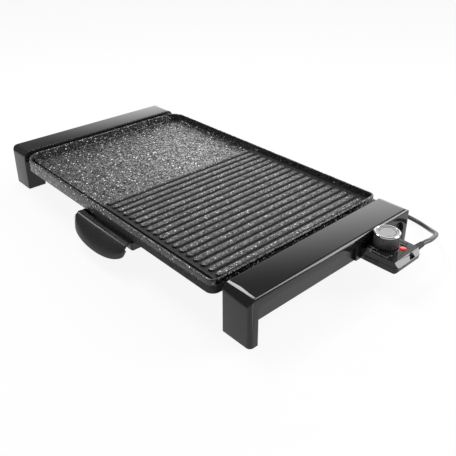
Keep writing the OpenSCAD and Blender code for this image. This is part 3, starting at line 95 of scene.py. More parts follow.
# %% Turn a grid of points into an object
def grid_object(name, grid, loop=False, caps=False, flip=False):
    """Quads between neighbours of a (rows, columns, 3) grid.

    loop joins the last column to the first. caps closes the first and the last row.
    Along a row the face's corners are (r, c), (r, c+1), (r+1, c+1), (r+1, c).
    """
    rows, cols = grid.shape[:2]
    r = np.arange(rows - 1)[:, None]
    c = np.arange(cols if loop else cols - 1)[None, :]
    step_r = np.array([0, 0, 1, 1])
    step_c = np.array([0, 1, 1, 0])
    corner_r = r[..., None] + step_r
    corner_c = c[..., None] + step_c
    quads = (corner_r * cols + corner_c % cols).reshape(-1, 4)
    along = (corner_r / (rows - 1) + 0 * corner_c).reshape(-1, 4)
    across = (corner_c / max(c.size, 1) + 0 * corner_r).reshape(-1, 4)
    if flip:
        quads, along, across = quads[:, ::-1], along[:, ::-1], across[:, ::-1]
    faces = quads.tolist()
    if caps:
        first, last = np.arange(cols), np.arange(cols) + (rows - 1) * cols
        faces += [(first if flip else first[::-1]).tolist()]
        faces += [(last[::-1] if flip else last).tolist()]
    mesh = bpy.data.meshes.new(name)
    mesh.from_pydata(grid.reshape(-1, 3).tolist(), [], faces)
    uv = np.zeros((len(mesh.loops), 2), np.float32)
    uv[: quads.size] = np.stack([along.ravel(), across.ravel()], axis=1)
    mesh.uv_layers.new(name="along_across").data.foreach_set("uv", uv.ravel())
    mesh.shade_smooth()
    made = bpy.data.objects.new(name, mesh)
    bpy.context.scene.collection.objects.link(made)
    return made


def enclosed(made):
    """Volume in cubic centimetres: a sixth of the sum of each triangle's triple product.

    It is positive where the faces of a closed mesh point outwards.
    """
    mesh = made.data
    mesh.calc_loop_triangles()
    corner = np.empty(len(mesh.loop_triangles) * 3, np.int32)
    mesh.loop_triangles.foreach_get("vertices", corner)
    co = np.empty(len(mesh.vertices) * 3, np.float32)
    mesh.vertices.foreach_get("co", co)
    a, b, c = co.reshape(-1, 3)[corner.reshape(-1, 3)].transpose(1, 0, 2).astype(float)
    return float(np.einsum("ij,ij->i", a, np.cross(b, c)).sum() / 6 * 1e6)


print("a grid becomes faces with its own UV map")

# %% [markdown]
# The mains lead leaves the controller through a tapered relief, drops to the table
# behind the right bridge and runs along the back of the grill. The photograph shows
# only its first stretch. The rest is put away in a neat coil of two layers behind
# the plate, where the grill hides it.
# A lead is round and keeps its thickness, so it is a circle carried along a path.
# The path is a smooth curve through the points of the CAD source's route, then the
# coil's own formula.

# %% Work out the lead's path
CORD_D = 6.8
COIL_MIDDLE = np.array([60.0, 205.0])
COIL_IN, COIL_PITCH, COIL_TURNS = 28.0, 7.4, 4.5
REST, LAYER = 4.5, CORD_D + 0.45
RELIEF_END = 128.135
COIL_OUT = COIL_IN + COIL_PITCH * COIL_TURNS / 2
route = [
    (355.5, RELIEF_END, 45.4), (356, 138, 45.2), (356.5, 148, 43.8), (354.5, 160, 41),
    (350, 175, 36), (344, 190, 29.5), (336.5, 204, 22.5), (327, 216.5, 15.5),
    (315.5, 227.5, 9.8), (301, 236.5, 6.3), (284, 243, 4.8), (264, 246.5, 4.5),
    (240, 248.6, 4.5), (214, 249.6, 4.5), (186, 249.6, 4.5), (158, 248.9, 4.5),
    (130, 248, 4.5), (104, 249.65, REST), (84, 249.65, REST), (66.8, 249.65, REST)]


def smooth_route(points, steps):
    """A Catmull-Rom curve: between b and c it starts along c - a and ends along d - b."""
    p = np.asarray(points, float)
    p = np.vstack([2 * p[0] - p[1], p, 2 * p[-1] - p[-2]])
    t = (np.arange(steps) / steps)[None, :, None]
    a, b, c, d = (p[k:len(p) - 3 + k][:, None, :] for k in range(4))
    curve = 0.5 * (2 * b + (c - a) * t + (2 * a - 5 * b + 4 * c - d) * t ** 2
                   + (3 * b - a - 3 * c + d) * t ** 3)
    return np.vstack([curve.reshape(-1, 3), p[-2]])


def coil(rings_per_turn):
    """A spiral in and out: radius = inner + pitch * turns from the middle turn.

    It climbs one layer, along an S-curve, in the half turn where it reverses.
    """
    t = np.linspace(0, COIL_TURNS, int(COIL_TURNS * rings_per_turn) + 1)
    radius = COIL_IN + COIL_PITCH * np.abs(t - COIL_TURNS / 2)
    s = np.clip((t - COIL_TURNS / 2) / 0.5 + 0.5, 0, 1)
    angle = math.pi / 2 + 2 * math.pi * t
    return np.stack([COIL_MIDDLE[0] + radius * np.cos(angle),
                     COIL_MIDDLE[1] + radius * np.sin(angle),
                     REST + LAYER * s * s * (3 - 2 * s)], axis=1)


TAIL, SWING, SWING_BACK = 18.0, 66.0, 23.0
LEAD_END = COIL_MIDDLE + [TAIL + SWING, SWING_BACK - COIL_OUT]


def tail():
    """The end beyond the coil: straight, then an S-curve 3 t^2 - 2 t^3 towards the back."""
    t = np.linspace(0, 1, 11)
    x = np.concatenate([[6.0, 12.0], TAIL + SWING * t])
    y = np.concatenate([[0.0, 0.0], SWING_BACK * t * t * (3 - 2 * t)])
    return np.stack([COIL_MIDDLE[0] + x, COIL_MIDDLE[1] - COIL_OUT + y,
                     REST + LAYER + 0 * x], axis=1)


lead_path = at(np.vstack([smooth_route(route, 5), coil(48), tail()]))

# %% [markdown]
# Each ring of the tube stands square to the path. The lead never runs straight up
# or down, so one side of every ring can be kept level, and the tube doesn't twist.

# %% Sweep the lead
def tube(path, radius, sides):
    """Rings round a path: point + radius * (cos a * level side + sin a * upper side)."""
    ahead = np.gradient(path, axis=0)
    ahead /= np.linalg.norm(ahead, axis=1, keepdims=True)
    side = np.cross(ahead, [0, 0, 1.0])
    side /= np.linalg.norm(side, axis=1, keepdims=True)
    over = np.cross(side, ahead)
    a = np.linspace(0, 2 * math.pi, sides, endpoint=False)[None, :, None]
    return path[:, None] + radius * (np.cos(a) * side[:, None] + np.sin(a) * over[:, None])


LEAD_SIDES = 20
lead = grid_object("mains_lead", tube(lead_path, CORD_D / 2000, LEAD_SIDES),
                   loop=True, caps=True, flip=True)
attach(lead, "controller")
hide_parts("power_cord", "cord_coil")
print("the lead's rubber fills", round(enclosed(lead), 1), "cubic centimetres")

# %% [markdown]
# The plug is one soft moulding: a round ribbed neck that swells into a flat body
# with rounded corners. It is drawn as slices across its length. Each slice is a
# superellipse, a closed curve that goes from a circle to a rounded rectangle as
# its power rises from 2, so the neck flows into the body without a seam.

# %% Make the plug's body
PLUG_X, PLUG_Y, PLUG_Z = *LEAD_END, REST + LAYER
PLUG_NECK, PLUG_SHOULDER, PLUG_FACE = 14.0, 10.0, 14.0
PLUG_W, PLUG_T = 36.0, 23.0
NECK_R, BODY_R, GROOVE, FACE_ROUND = 4.0, PLUG_T / 3, 0.7, 1.2
ROUND_POWER, BODY_POWER = 2.0, 4.2


def superellipse(half_w, half_h, power, angles):
    """Points (half_w * |cos|^(2/power), half_h * |sin|^(2/power)), with their signs."""
    c, s = np.cos(angles), np.sin(angles)
    return (half_w * np.sign(c) * np.abs(c) ** (2 / power),
            half_h * np.sign(s) * np.abs(s) ** (2 / power))


def plug_slices(sides=72):
    """Slices from the neck's end to the face: the neck's radius dips in four grooves."""
    neck = np.linspace(0, PLUG_NECK, 49)
    round_r = NECK_R + (BODY_R - NECK_R) * neck / PLUG_NECK
    groove = GROOVE * np.clip(np.cos(neck / PLUG_NECK * 5 * 2 * math.pi), 0, 1) ** 2
    groove *= (neck > 1.4) & (neck < PLUG_NECK - 1.4)
    t = np.linspace(0, 1, 16)[1:]
    swell = t * t * (3 - 2 * t)
    end = np.linspace(0, math.pi / 2, 7)
    x = np.concatenate([neck, PLUG_NECK + PLUG_SHOULDER * t,
                        PLUG_NECK + PLUG_SHOULDER + PLUG_FACE - FACE_ROUND * (1 - np.sin(end))])
    half_w, half_h = (np.concatenate([
        round_r - groove, BODY_R + (half - BODY_R) * swell,
        half - FACE_ROUND * (1 - np.cos(end))]) for half in (PLUG_W / 2, PLUG_T / 2))
    power = np.concatenate([np.full(neck.size, ROUND_POWER),
                            ROUND_POWER + (BODY_POWER - ROUND_POWER) * swell,
                            np.full(end.size, BODY_POWER)])
    a = np.linspace(0, 2 * math.pi, sides, endpoint=False)[None, :]
    y, z = superellipse(half_w[:, None], half_h[:, None], power[:, None], a)
    return np.stack([PLUG_X + x[:, None] + 0 * a, PLUG_Y + y, PLUG_Z + z], axis=-1)


plug = grid_object("plug_shell", at(plug_slices()), loop=True, caps=True, flip=True)
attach(plug, "controller")
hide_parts("plug_body")
print("the plug holds", round(enclosed(plug), 1), "cubic centimetres")

# %% [markdown]
# The lead's path starts where it leaves the controller's relief.

print("the lead leaves the controller at", np.round(lead_path[0], 4))

# %% [markdown]
# The drip tray's handle is a scoop: a thin moulded sheet that rises up the tray's
# front wall, turns forward in a short neck and then curves down and out to a
# half-moon edge. Fingers go behind that edge.
# It is one sheet, so it is drawn as one: every column of the grid is the sheet's
# section at one place across the handle. Solidify then gives it its wall, and a
# small bevel rounds its rim.

# %% Make the tray's handle
HANDLE_X, HANDLE_W, HANDLE_WALL = 16.5, 131.0, 2.8
EDGE_Y, EDGE_Z, WALL_Y, FLANGE_Z = -177.0, 44.5, -170.3, 35.0
REACH, FALL, END_REACH, END_FALL = 18.5, 28.5, 0.28, 0.46
BULGE, NARROWING, NECK_BEND = 2.2, 5.0, 1.6


def handle_sheet(columns=61, rows=17):
    """The sheet's outer face, in three stretches of each section.

    bow = square root of 1 - s * s, so the lip's plan and drop are half-ellipses in s.
    """
    s = np.sin(np.linspace(-math.pi / 2, math.pi / 2, columns))[None, :]
    bow = np.sqrt(np.clip(1 - s * s, 0, 1))
    reach = REACH * (END_REACH + (1 - END_REACH) * bow)
    fall = FALL * (END_FALL + (1 - END_FALL) * bow)
    length = np.hypot(reach, fall)
    t = np.linspace(0, 1, rows)[:, None]
    swell = BULGE * 4 * t * (1 - t)
    scoop = np.stack([HANDLE_X + s * (HANDLE_W / 2 - 0.4) - s * NARROWING * t * t * (1 - bow),
                      EDGE_Y - reach * t - fall / length * swell,
                      EDGE_Z - fall * t - reach / length * swell * 0.2 + 0 * s], axis=-1)
    turn = np.linspace(0, math.pi / 2, 6)[:, None]
    back_y = np.vstack([np.array([[WALL_Y], [WALL_Y]]),
                        WALL_Y - NECK_BEND * (1 - np.cos(turn))])
    back_z = np.vstack([np.array([[FLANGE_Z], [EDGE_Z - 4]]),
                        EDGE_Z - NECK_BEND * (1 - np.sin(turn))])
    back = np.stack([HANDLE_X + s * (HANDLE_W / 2 - 1.0) + 0 * back_y,
                     back_y + 0 * s, back_z + 0 * s], axis=-1)
    return np.vstack([back, scoop])


handle = grid_object("handle_scoop", at(handle_sheet()))
wall = handle.modifiers.new("wall", "SOLIDIFY")
wall.thickness, wall.offset, wall.use_even_offset = HANDLE_WALL / 1000, -1.0, True
rim = handle.modifiers.new("rim", "BEVEL")
rim.width, rim.segments, rim.limit_method = 0.0007, 3, "ANGLE"
rim.angle_limit, rim.use_clamp_overlap = math.radians(50), False
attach(handle, "drip_tray")
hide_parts("tray_handle")
print("the handle's sheet has", len(handle.data.polygons), "faces")

# %% [markdown]
# The knob's grip is a cylinder with forty shallow flutes, which fingers turn.
# A flute is part of the radius: it dips with the angle round the knob, and the
# dip fades out at the bevels above and below, as a mould's draft would leave it.

# %% Make the knob's grip
KNOB = np.array([330.7, 75.5])
KNOB_R, KNOB_LOW, KNOB_HIGH = 17.6, 56.7, 74.55
FLUTES, FLUTE_DEPTH = 40, 0.75


def knob_rings(columns=FLUTES * 12):
    """Rings up the grip: radius = profile - depth * fade * dip^1.2.

    dip is a cosine wave round the knob with flattened crests, one wave a flute.
    """
    z = np.array([KNOB_LOW, KNOB_LOW, KNOB_LOW + 0.4, KNOB_LOW + 1.4, KNOB_LOW + 2.2,
                  KNOB_HIGH - 2.6, KNOB_HIGH - 1.8, KNOB_HIGH - 0.9, KNOB_HIGH - 0.3,
                  KNOB_HIGH, KNOB_HIGH])
    inset = np.array([5.0, 0.4, 0.0, 0.0, 0.0, 0.0, 0.0, 0.1, 0.4, 1.0, 5.0])
    fade = np.array([0, 0.6, 0.9, 1, 1, 1, 0.9, 0.5, 0.15, 0, 0])
    a = np.linspace(0, 2 * math.pi, columns, endpoint=False)[None, :]
    dip = np.clip(np.cos(a * FLUTES), -0.3, 1) * 0.5 + 0.15
    r = (KNOB_R - inset)[:, None] - FLUTE_DEPTH * fade[:, None] * dip ** 1.2
    return np.stack([KNOB[0] + r * np.cos(a), KNOB[1] + r * np.sin(a),
                     z[:, None] + 0 * a], axis=-1)


grip = grid_object("knob_grip", at(knob_rings()), loop=True, caps=True)
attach(grip, "knob")
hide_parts("knob_body")
print("the grip holds", round(enclosed(grip), 2), "cubic centimetres")

# %% [markdown]
# The disc on top of the knob has a printed scale: a ring of fine dashes that grow
# longer towards the hot end. Each dash is a flat box, and all of them are turned
# into place at once with one array of angles.

# %% Print the knob's scale
DISC_TOP = 76.8 - 0.7
SCALE_R, DASH_SHORT, DASH_GROWTH, DASH_HALF_W, DASH_T = 12.6, 1.2, 1.8, 0.42, 0.05


def scale_marks(count=26, start=math.radians(-60), sweep=math.radians(270)):
    """Eight corners a dash, out from the knob's middle, turned by start + sweep * share."""
    turn = start + sweep * np.arange(count) / (count - 1)
    long = DASH_SHORT + DASH_GROWTH * np.arange(count) / (count - 1)
    corner = np.array([[u, v, w] for w in (0, 1) for u, v in ((0, -1), (1, -1), (1, 1), (0, 1))])
    out = SCALE_R - long[:, None] * (1 - corner[None, :, 0])
    side = DASH_HALF_W * corner[None, :, 1] + 0 * out
    c, s = np.cos(turn)[:, None], np.sin(turn)[:, None]
    return np.stack([KNOB[0] + out * c - side * s, KNOB[1] + out * s + side * c,
                     DISC_TOP + 0.01 + DASH_T * corner[None, :, 2] + 0 * out], axis=-1)


def boxes_object(name, corners):
    """One mesh of many boxes, each given by four lower corners and the four above them."""
    side = np.array([[0, 3, 2, 1], [4, 5, 6, 7], [0, 1, 5, 4], [1, 2, 6, 5], [2, 3, 7, 6],
                     [3, 0, 4, 7]])
    faces = (np.arange(len(corners))[:, None, None] * 8 + side).reshape(-1, 4)
    mesh = bpy.data.meshes.new(name)
    mesh.from_pydata(corners.reshape(-1, 3).tolist(), [], faces.tolist())
    made = bpy.data.objects.new(name, mesh)
    bpy.context.scene.collection.objects.link(made)
    return made


marks = boxes_object("knob_scale", at(scale_marks()))
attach(marks, "knob")
print("the scale has", len(marks.data.polygons) // 6, "dashes")

# %% [markdown]
# A CAD solid arrives as loose triangles. Welding joins them, and then a bevel can
# find the edges between faces. Real mouldings and castings never have knife edges,
# and the thin highlight along a rounded edge is much of what the eye reads as
# plastic or metal. Where a solid is too fine for a bevel, splitting it at its
# sharp edges keeps the rest smooth.

# %% Round and smooth the carried-over solids
SHARP = math.radians(32)
WELD_WITHIN = 2e-6


def soften(name, width_mm=0.0):
    """Weld a CAD node, then bevel the edges that are sharper than SHARP, or split it there."""
    solid = nodes[name]
    if "custom_normal" in solid.data.attributes:
        solid.data.attributes.remove(solid.data.attributes["custom_normal"])
    solid.data.shade_smooth()
    weld = solid.modifiers.new("weld", "WELD")
    weld.merge_threshold = WELD_WITHIN
    if width_mm:
        edge = solid.modifiers.new("edge", "BEVEL")
        edge.width, edge.segments = width_mm / 1000, 2
        edge.limit_method, edge.angle_limit = "ANGLE", SHARP
        edge.use_clamp_overlap, edge.harden_normals = False, True
    else:
        split = solid.modifiers.new("split", "EDGE_SPLIT")
        split.split_angle, split.use_edge_sharp = SHARP, False


bevelled = {"left_bridge": 0.5, "right_bridge": 0.5, "left_carrier": 0.4, "right_carrier": 0.4,
            "controller_socket": 0.4, "controller_base": 0.35, "controller_cover": 0.5,
            "drip_tray": 0.4, "cord_tie": 0.15}
hidden = {"power_cord", "cord_coil", "plug_body", "tray_handle", "knob_body"}
for name in sorted(set(nodes) - hidden):
    soften(name, bevelled.get(name, 0.0))
print(len(bevelled), "solids bevelled, the others smoothed up to their sharp edges")

# %% [markdown]
# Materials are made of nodes. A few small helpers keep them readable: each adds one
# node, plugs values or other nodes' outputs into it and gives back what comes out.

# %% Helpers for node trees
def plug_in(tree, socket, value):
    """Joins another node's output to a socket, or sets it to a number or a colour."""
    if isinstance(value, bpy.types.NodeSocket):
        tree.links.new(value, socket)
    else:
        socket.default_value = value


def node(tree, kind, settings=None, **inputs):
    """Adds a shader node. Inputs are numbers, colours or sockets; _ stands for a space."""
    made = tree.nodes.new("ShaderNode" + kind)
    for key, value in (settings or {}).items():
        setattr(made, key, value)
    for key, value in inputs.items():
        plug_in(tree, made.inputs[key.replace("_", " ")], value)
    return made


def calc(tree, what, *values):
    """One math node: values may be numbers or sockets. Gives its output socket."""
    made = node(tree, "Math", {"operation": what})
    for socket, value in zip(made.inputs, values):
        plug_in(tree, socket, value)
    return made.outputs[0]


def vector(tree, what, *values):
    """One vector math node. A length and a dot product come out as a number."""
    made = node(tree, "VectorMath", {"operation": what})
    for socket, value in zip(made.inputs, values):
        plug_in(tree, socket, value)
    return made.outputs["Value" if what in ("LENGTH", "DOT_PRODUCT") else "Vector"]


def remap(tree, value, source, target, **settings):
    """Carries a value from the source range to the target range."""
    return node(tree, "MapRange", settings, Value=value, From_Min=source[0],
                From_Max=source[1], To_Min=target[0], To_Max=target[1]).outputs[0]


def blend_colours(tree, factor, first, second):
    """A colour between first and second."""
    mix = node(tree, "Mix", {"data_type": "RGBA"})
    for spot, value in ((0, factor), (6, first), (7, second)):
        plug_in(tree, mix.inputs[spot], value)
    return mix.outputs[2]


def colour_ramp(tree, factor, stops, interpolation="LINEAR"):
    """A colour read off a ramp, which is given as (position, colour) stops."""
    made = node(tree, "ValToRGB", Fac=factor)
    made.color_ramp.interpolation = interpolation
    spots = made.color_ramp.elements
    spots[0].position, spots[0].color = stops[0]
    spots[1].position, spots[1].color = stops[-1]
    for position, colour in stops[1:-1]:
        spots.new(position).color = colour
    return made.outputs[0]


def grey(value):
    """A neutral colour."""
    return (value, value, value, 1.0)


print("node helpers ready")

# %% [markdown]
# A group is a small machine that several materials share. Each has named inputs,
# so that every material sets its own grain size and strength.
# The first is the skin that a mould leaves on plastic and rubber: a fine orange
# peel and faint clouds where the surface is a touch duller.

# %% Group for moulded skins
def new_group(name, inputs, outputs):
    """An empty shader group with named sockets; gives the tree and its two end nodes."""
    tree = bpy.data.node_groups.new(name, "ShaderNodeTree")
    for label, kind, value in inputs:
        socket = tree.interface.new_socket(label, in_out="INPUT", socket_type=kind)
        if value is not None:
            socket.default_value = value
    for label, kind in outputs:
        tree.interface.new_socket(label, in_out="OUTPUT", socket_type=kind)
    return tree, tree.nodes.new("NodeGroupInput"), tree.nodes.new("NodeGroupOutput")


FLOAT, VECTOR = "NodeSocketFloat", "NodeSocketVector"
moulded_skin, gi, go = new_group(
    "moulded_skin", [("Place", VECTOR, None), ("Grain per metre", FLOAT, 1500.0),
                     ("Cloud per metre", FLOAT, 18.0)],
    [("Tone", FLOAT), ("Height", FLOAT)])
grain = node(moulded_skin, "TexNoise", Vector=gi.outputs[0], Scale=gi.outputs[1], Detail=2.0,
             Roughness=0.5)
cloud = node(moulded_skin, "TexNoise", Vector=gi.outputs[0], Scale=gi.outputs[2], Detail=3.0,
             Roughness=0.6)
tone = calc(moulded_skin, "ADD", calc(moulded_skin, "MULTIPLY", grain.outputs[0], 0.35),
            calc(moulded_skin, "MULTIPLY", cloud.outputs[0], 0.65))
moulded_skin.links.new(tone, go.inputs[0])
moulded_skin.links.new(grain.outputs[0], go.inputs[1])
print("group", moulded_skin.name, "has", len(moulded_skin.nodes), "nodes")

# %% [markdown]
# The second group scatters flakes, as in the stone coating: the space is cut into
# cells, each cell has a random number, and only cells with a high number hold a
# flake. A flake's size varies with another random number of its cell, and a little
# noise in the place makes its outline ragged.

# %% Group for scattered flakes
flakes, gi, go = new_group(
    "flakes", [("Place", VECTOR, None), ("Cells per metre", FLOAT, 250.0),
               ("Share", FLOAT, 0.4), ("Size", FLOAT, 0.35)],
    [("Mask", FLOAT), ("Random", FLOAT)])
SHAKE, SMALLEST, SPAN, CRISPNESS = 0.0016, 0.4, 0.9, 9.0
wobble = node(flakes, "TexNoise", Vector=gi.outputs[0], Scale=900.0, Detail=1.0)
shaken = vector(flakes, "MULTIPLY_ADD", wobble.outputs["Color"], (SHAKE,) * 3, gi.outputs[0])
cells = node(flakes, "TexVoronoi", {"feature": "F1"}, Vector=shaken, Scale=gi.outputs[1])
colour = node(flakes, "SeparateColor", Color=cells.outputs["Color"])
chosen = calc(flakes, "GREATER_THAN", colour.outputs[0],
              calc(flakes, "SUBTRACT", 1.0, gi.outputs[2]))
reach = calc(flakes, "MULTIPLY", gi.outputs[3],
             calc(flakes, "ADD", SMALLEST, calc(flakes, "MULTIPLY", colour.outputs[1], SPAN)))
inside = calc(flakes, "MULTIPLY", calc(flakes, "SUBTRACT", reach, cells.outputs["Distance"]),
              CRISPNESS)
mask = node(flakes, "Clamp", Value=calc(flakes, "MULTIPLY", chosen, inside)).outputs[0]
flakes.links.new(mask, go.inputs[0])
flakes.links.new(colour.outputs[2], go.inputs[1])
print("group", flakes.name, "has", len(flakes.nodes), "nodes")

# %% [markdown]
# The third group draws the fine lines that rolling, drawing or brushing leaves on
# metal: noise that is stretched along one direction.

# %% Group for drawn lines
drawn_lines, gi, go = new_group(
    "drawn_lines", [("Place", VECTOR, None), ("Stretch", VECTOR, (40.0, 1500.0, 1500.0))],
    [("Tone", FLOAT), ("Height", FLOAT)])
stretched = vector(drawn_lines, "MULTIPLY", gi.outputs[0], gi.outputs[1])
lines = node(drawn_lines, "TexNoise", Vector=stretched, Scale=1.0, Detail=3.0)
drawn_lines.links.new(lines.outputs[0], go.inputs[0])
drawn_lines.links.new(lines.outputs[0], go.inputs[1])
print("group", drawn_lines.name, "has", len(drawn_lines.nodes), "nodes")

# %% [markdown]
# Every finish starts the same way: a material whose Principled shader holds the
# constant numbers, and whose colour, roughness and normal come from the groups.
# Patterns read Object coordinates. A solid's object sits at the origin, so these
# are metres in the frame, and a grain has its real size on every piece.

# %% Start a material
def start(name, **sockets):
    """A material, its tree, its Principled shader and its place in metres."""
    made = bpy.data.materials.new(name)
    made.use_nodes = True
    tree = made.node_tree
    shader = tree.nodes["Principled BSDF"]
    for key, value in sockets.items():
        shader.inputs[key.replace("_", " ")].default_value = value
    place = node(tree, "TexCoord").outputs["Object"]
    return made, tree, shader, place


def use_group(tree, group, **inputs):
    """Places a group and sets its inputs."""
    return node(tree, "Group", {"node_tree": group}, **inputs)


def bump(tree, shader, height, depth_mm):
    """Joins a height to the shader's normal, with its depth in millimetres."""
    made = node(tree, "Bump", Height=height, Distance=depth_mm / 1000)
    tree.links.new(made.outputs[0], shader.inputs["Normal"])


def vary(tree, shader, tone, dark, light, smooth, rough):
    """Colour runs from dark to light and roughness from smooth to rough with the tone."""
    tree.links.new(blend_colours(tree, tone, dark, light), shader.inputs["Base Color"])
    plug_in(tree, shader.inputs["Roughness"], remap(tree, tone, (0.3, 0.7), (smooth, rough)))


print("materials can be started")

# %% [markdown]
# Plastics and rubbers differ in how dark they are, how sharp their reflections
# are and how coarse their skin is. One function makes them all from those numbers.

# %% Plastics and rubbers
def moulded(name, colour, smooth, rough, grain=1500.0, depth_mm=0.004, spread=0.35, **sockets):
    """A moulded finish: its tone moves the colour by the spread and sets the roughness."""
    made, tree, shader, place = start(name, **sockets)
    skin = use_group(tree, moulded_skin, Place=place, Grain_per_metre=grain)
    dark = tuple(c * (1 - spread) for c in colour[:3]) + (1.0,)
    light = tuple(c * (1 + spread) for c in colour[:3]) + (1.0,)
    vary(tree, shader, skin.outputs["Tone"], dark, light, smooth, rough)
    bump(tree, shader, skin.outputs["Height"], depth_mm)
    return made


finish = {
    "gloss_black": moulded("gloss_black", grey(0.011), 0.04, 0.08, depth_mm=0.0006, grain=700,
                           IOR=1.43),
    "satin_black": moulded("satin_black", grey(0.014), 0.30, 0.42, depth_mm=0.012),
    "handle_black": moulded("handle_black", grey(0.008), 0.20, 0.30, depth_mm=0.008),
    "rubber_black": moulded("rubber_black", grey(0.018), 0.55, 0.75, grain=900, depth_mm=0.02),
    "cord_black": moulded("cord_black", grey(0.024), 0.34, 0.46, grain=600, depth_mm=0.02),
    "knob_black": moulded("knob_black", grey(0.055), 0.20, 0.30, depth_mm=0.006),
    "tie_white": moulded("tie_white", grey(0.70), 0.35, 0.5, depth_mm=0.01, spread=0.06),
    "scale_print": moulded("scale_print", grey(0.03), 0.5, 0.6, depth_mm=0.002),
    "phenolic_block": moulded("phenolic_block", (0.05, 0.035, 0.025, 1), 0.35, 0.5, spread=0.4),
    "lead_insulation": moulded("lead_insulation", (0.22, 0.10, 0.06, 1), 0.4, 0.55, spread=0.2),
    "ceramic_bead": moulded("ceramic_bead", (0.66, 0.62, 0.52, 1), 0.45, 0.6, depth_mm=0.02,
                            spread=0.08),
    "thermostat_ceramic": moulded("thermostat_ceramic", (0.74, 0.71, 0.64, 1), 0.4, 0.6,
                                  depth_mm=0.02, spread=0.07),
    "enamel_tray": moulded("enamel_tray", grey(0.022), 0.10, 0.2, grain=350, depth_mm=0.01),
}
print(len(finish), "moulded finishes")

# %% [markdown]
# Metals have no colour of their own below their reflections, so the tone of the
# drawn lines moves both the tint and the roughness.

# %% Metals
def metal(name, colour, smooth, rough, stretch=(40.0, 1500.0, 1500.0), depth_mm=0.003):
    """A bare or plated metal: lines along one direction, or specks where the stretch is even."""
    made, tree, shader, place = start(name, Metallic=1.0)
    drawn = use_group(tree, drawn_lines, Place=place, Stretch=stretch)
    dark = tuple(c * 0.85 for c in colour) + (1.0,)
    vary(tree, shader, drawn.outputs["Tone"], dark, tuple(colour) + (1.0,), smooth, rough)
    bump(tree, shader, drawn.outputs["Height"], depth_mm)
    return made


finish.update({
    "galvanised_steel": metal("galvanised_steel", (0.60, 0.61, 0.62), 0.28, 0.45, (300,) * 3),
    "screw_steel": metal("screw_steel", (0.62, 0.61, 0.58), 0.22, 0.35, (900,) * 3),
    "dark_screw_steel": metal("dark_screw_steel", (0.10, 0.10, 0.10), 0.3, 0.45, (900,) * 3),
    "nickel_pin": metal("nickel_pin", (0.72, 0.69, 0.62), 0.12, 0.22),
    "stainless": metal("stainless", (0.66, 0.65, 0.63), 0.14, 0.26),
    "contact_brass": metal("contact_brass", (0.78, 0.60, 0.28), 0.2, 0.32),
    "bright_ring": metal("bright_ring", (0.50, 0.50, 0.51), 0.10, 0.18, (500,) * 3, 0.0008),
})
print(len(finish), "finishes with the metals")

# %% [markdown]
# The heating element's sheath has been hot: it is grey where it is clamped and
# turns straw, brown and blue in slow bands along its length.

# %% The element's heat-tinted sheath
made, tree, shader, place = start("element_sheath", Metallic=1.0)
drawn = use_group(tree, drawn_lines, Place=place, Stretch=(500.0, 500.0, 500.0))
heat = node(tree, "TexNoise", Vector=place, Scale=9.0, Detail=2.0)
HEAT_TINTS = ((0.35, (0.16, 0.15, 0.15, 1)), (0.48, (0.30, 0.22, 0.12, 1)),
              (0.58, (0.20, 0.12, 0.09, 1)), (0.7, (0.10, 0.11, 0.16, 1)))
plug_in(tree, shader.inputs["Base Color"], colour_ramp(tree, heat.outputs[0], HEAT_TINTS))
plug_in(tree, shader.inputs["Roughness"],
        remap(tree, drawn.outputs["Tone"], (0.0, 1.0), (0.35, 0.6)))
bump(tree, shader, drawn.outputs["Height"], 0.01)
finish["element_sheath"] = made
print("the sheath's tint has", len(HEAT_TINTS), "stops")

# %% [markdown]
# The plate's coating is what the eye goes to: a black non-stick skin full of pale
# stone flakes. From a step away it is a field of fine grains, each a little lighter
# or darker than the next, with larger bright flakes strewn over it.
# Each grain is also tilted a little, as mica is, so that the sheen of the window
# side breaks up into sparkle. The tilt is added to the surface's normal.

# %% Group for tilted grains
grains, gi, go = new_group(
    "grains", [("Place", VECTOR, None), ("Normal", VECTOR, None),
               ("Cells per metre", FLOAT, 600.0), ("Tilt", FLOAT, 0.1)],
    [("Random", FLOAT), ("Normal", VECTOR)])
cells = node(grains, "TexVoronoi", {"feature": "F1"}, Vector=gi.outputs[0], Scale=gi.outputs[2])
leaning = vector(grains, "MULTIPLY",
                 vector(grains, "SUBTRACT", cells.outputs["Color"], (0.5,) * 3), gi.outputs[3])
tilted = vector(grains, "NORMALIZE", vector(grains, "ADD", gi.outputs[1], leaning))
colour = node(grains, "SeparateColor", Color=cells.outputs["Color"])
grains.links.new(colour.outputs[0], go.inputs[0])
grains.links.new(tilted, go.inputs[1])
print("group", grains.name, "has", len(grains.nodes), "nodes")

# %% [markdown]
# The coating's colour is built from the bottom up: grains, then a layer of small
# flakes and a layer of large ones. Between the ribs, on the steep inner walls and
# along the foot of the left slope the colour is deepened by height and place: this
# is painted shade, for the shadow that falls in these hollows.

# %% The stone coating
RIB_TOP, RIB_FOOT = 0.0615, 0.0585
WALL_FOOT, WALL_TOP, PAN_HALF_DEPTH = 0.0630, 0.0645, 0.1655
RIBS_START, SLOPE_END, STEP_MIDDLE = (float(at([x, 0, 0])[0]) for x in (-21.0, -228.0, -238.1))
PAN_MIDDLE, STEP_HALF = float(at([0, 0, 0])[1]), 0.0011
made, tree, shader, place = start("stone_coated_cast", Specular_IOR_Level=0.62)
grainy = use_group(tree, grains, Place=place, Cells_per_metre=520.0, Tilt=0.34,
                   Normal=node(tree, "NewGeometry").outputs["Normal"])
small = use_group(tree, flakes, Place=place, Cells_per_metre=430.0, Share=0.42, Size=0.36)
large = use_group(tree, flakes, Place=place, Cells_per_metre=270.0, Share=0.42, Size=0.34)
tone = calc(tree, "POWER", grainy.outputs["Random"], 2.4)
ground = blend_colours(tree, tone, grey(0.001), grey(0.04))
pale = blend_colours(tree, small.outputs["Random"], grey(0.004), grey(0.11))
ground = blend_colours(tree, small.outputs["Mask"], ground, pale)
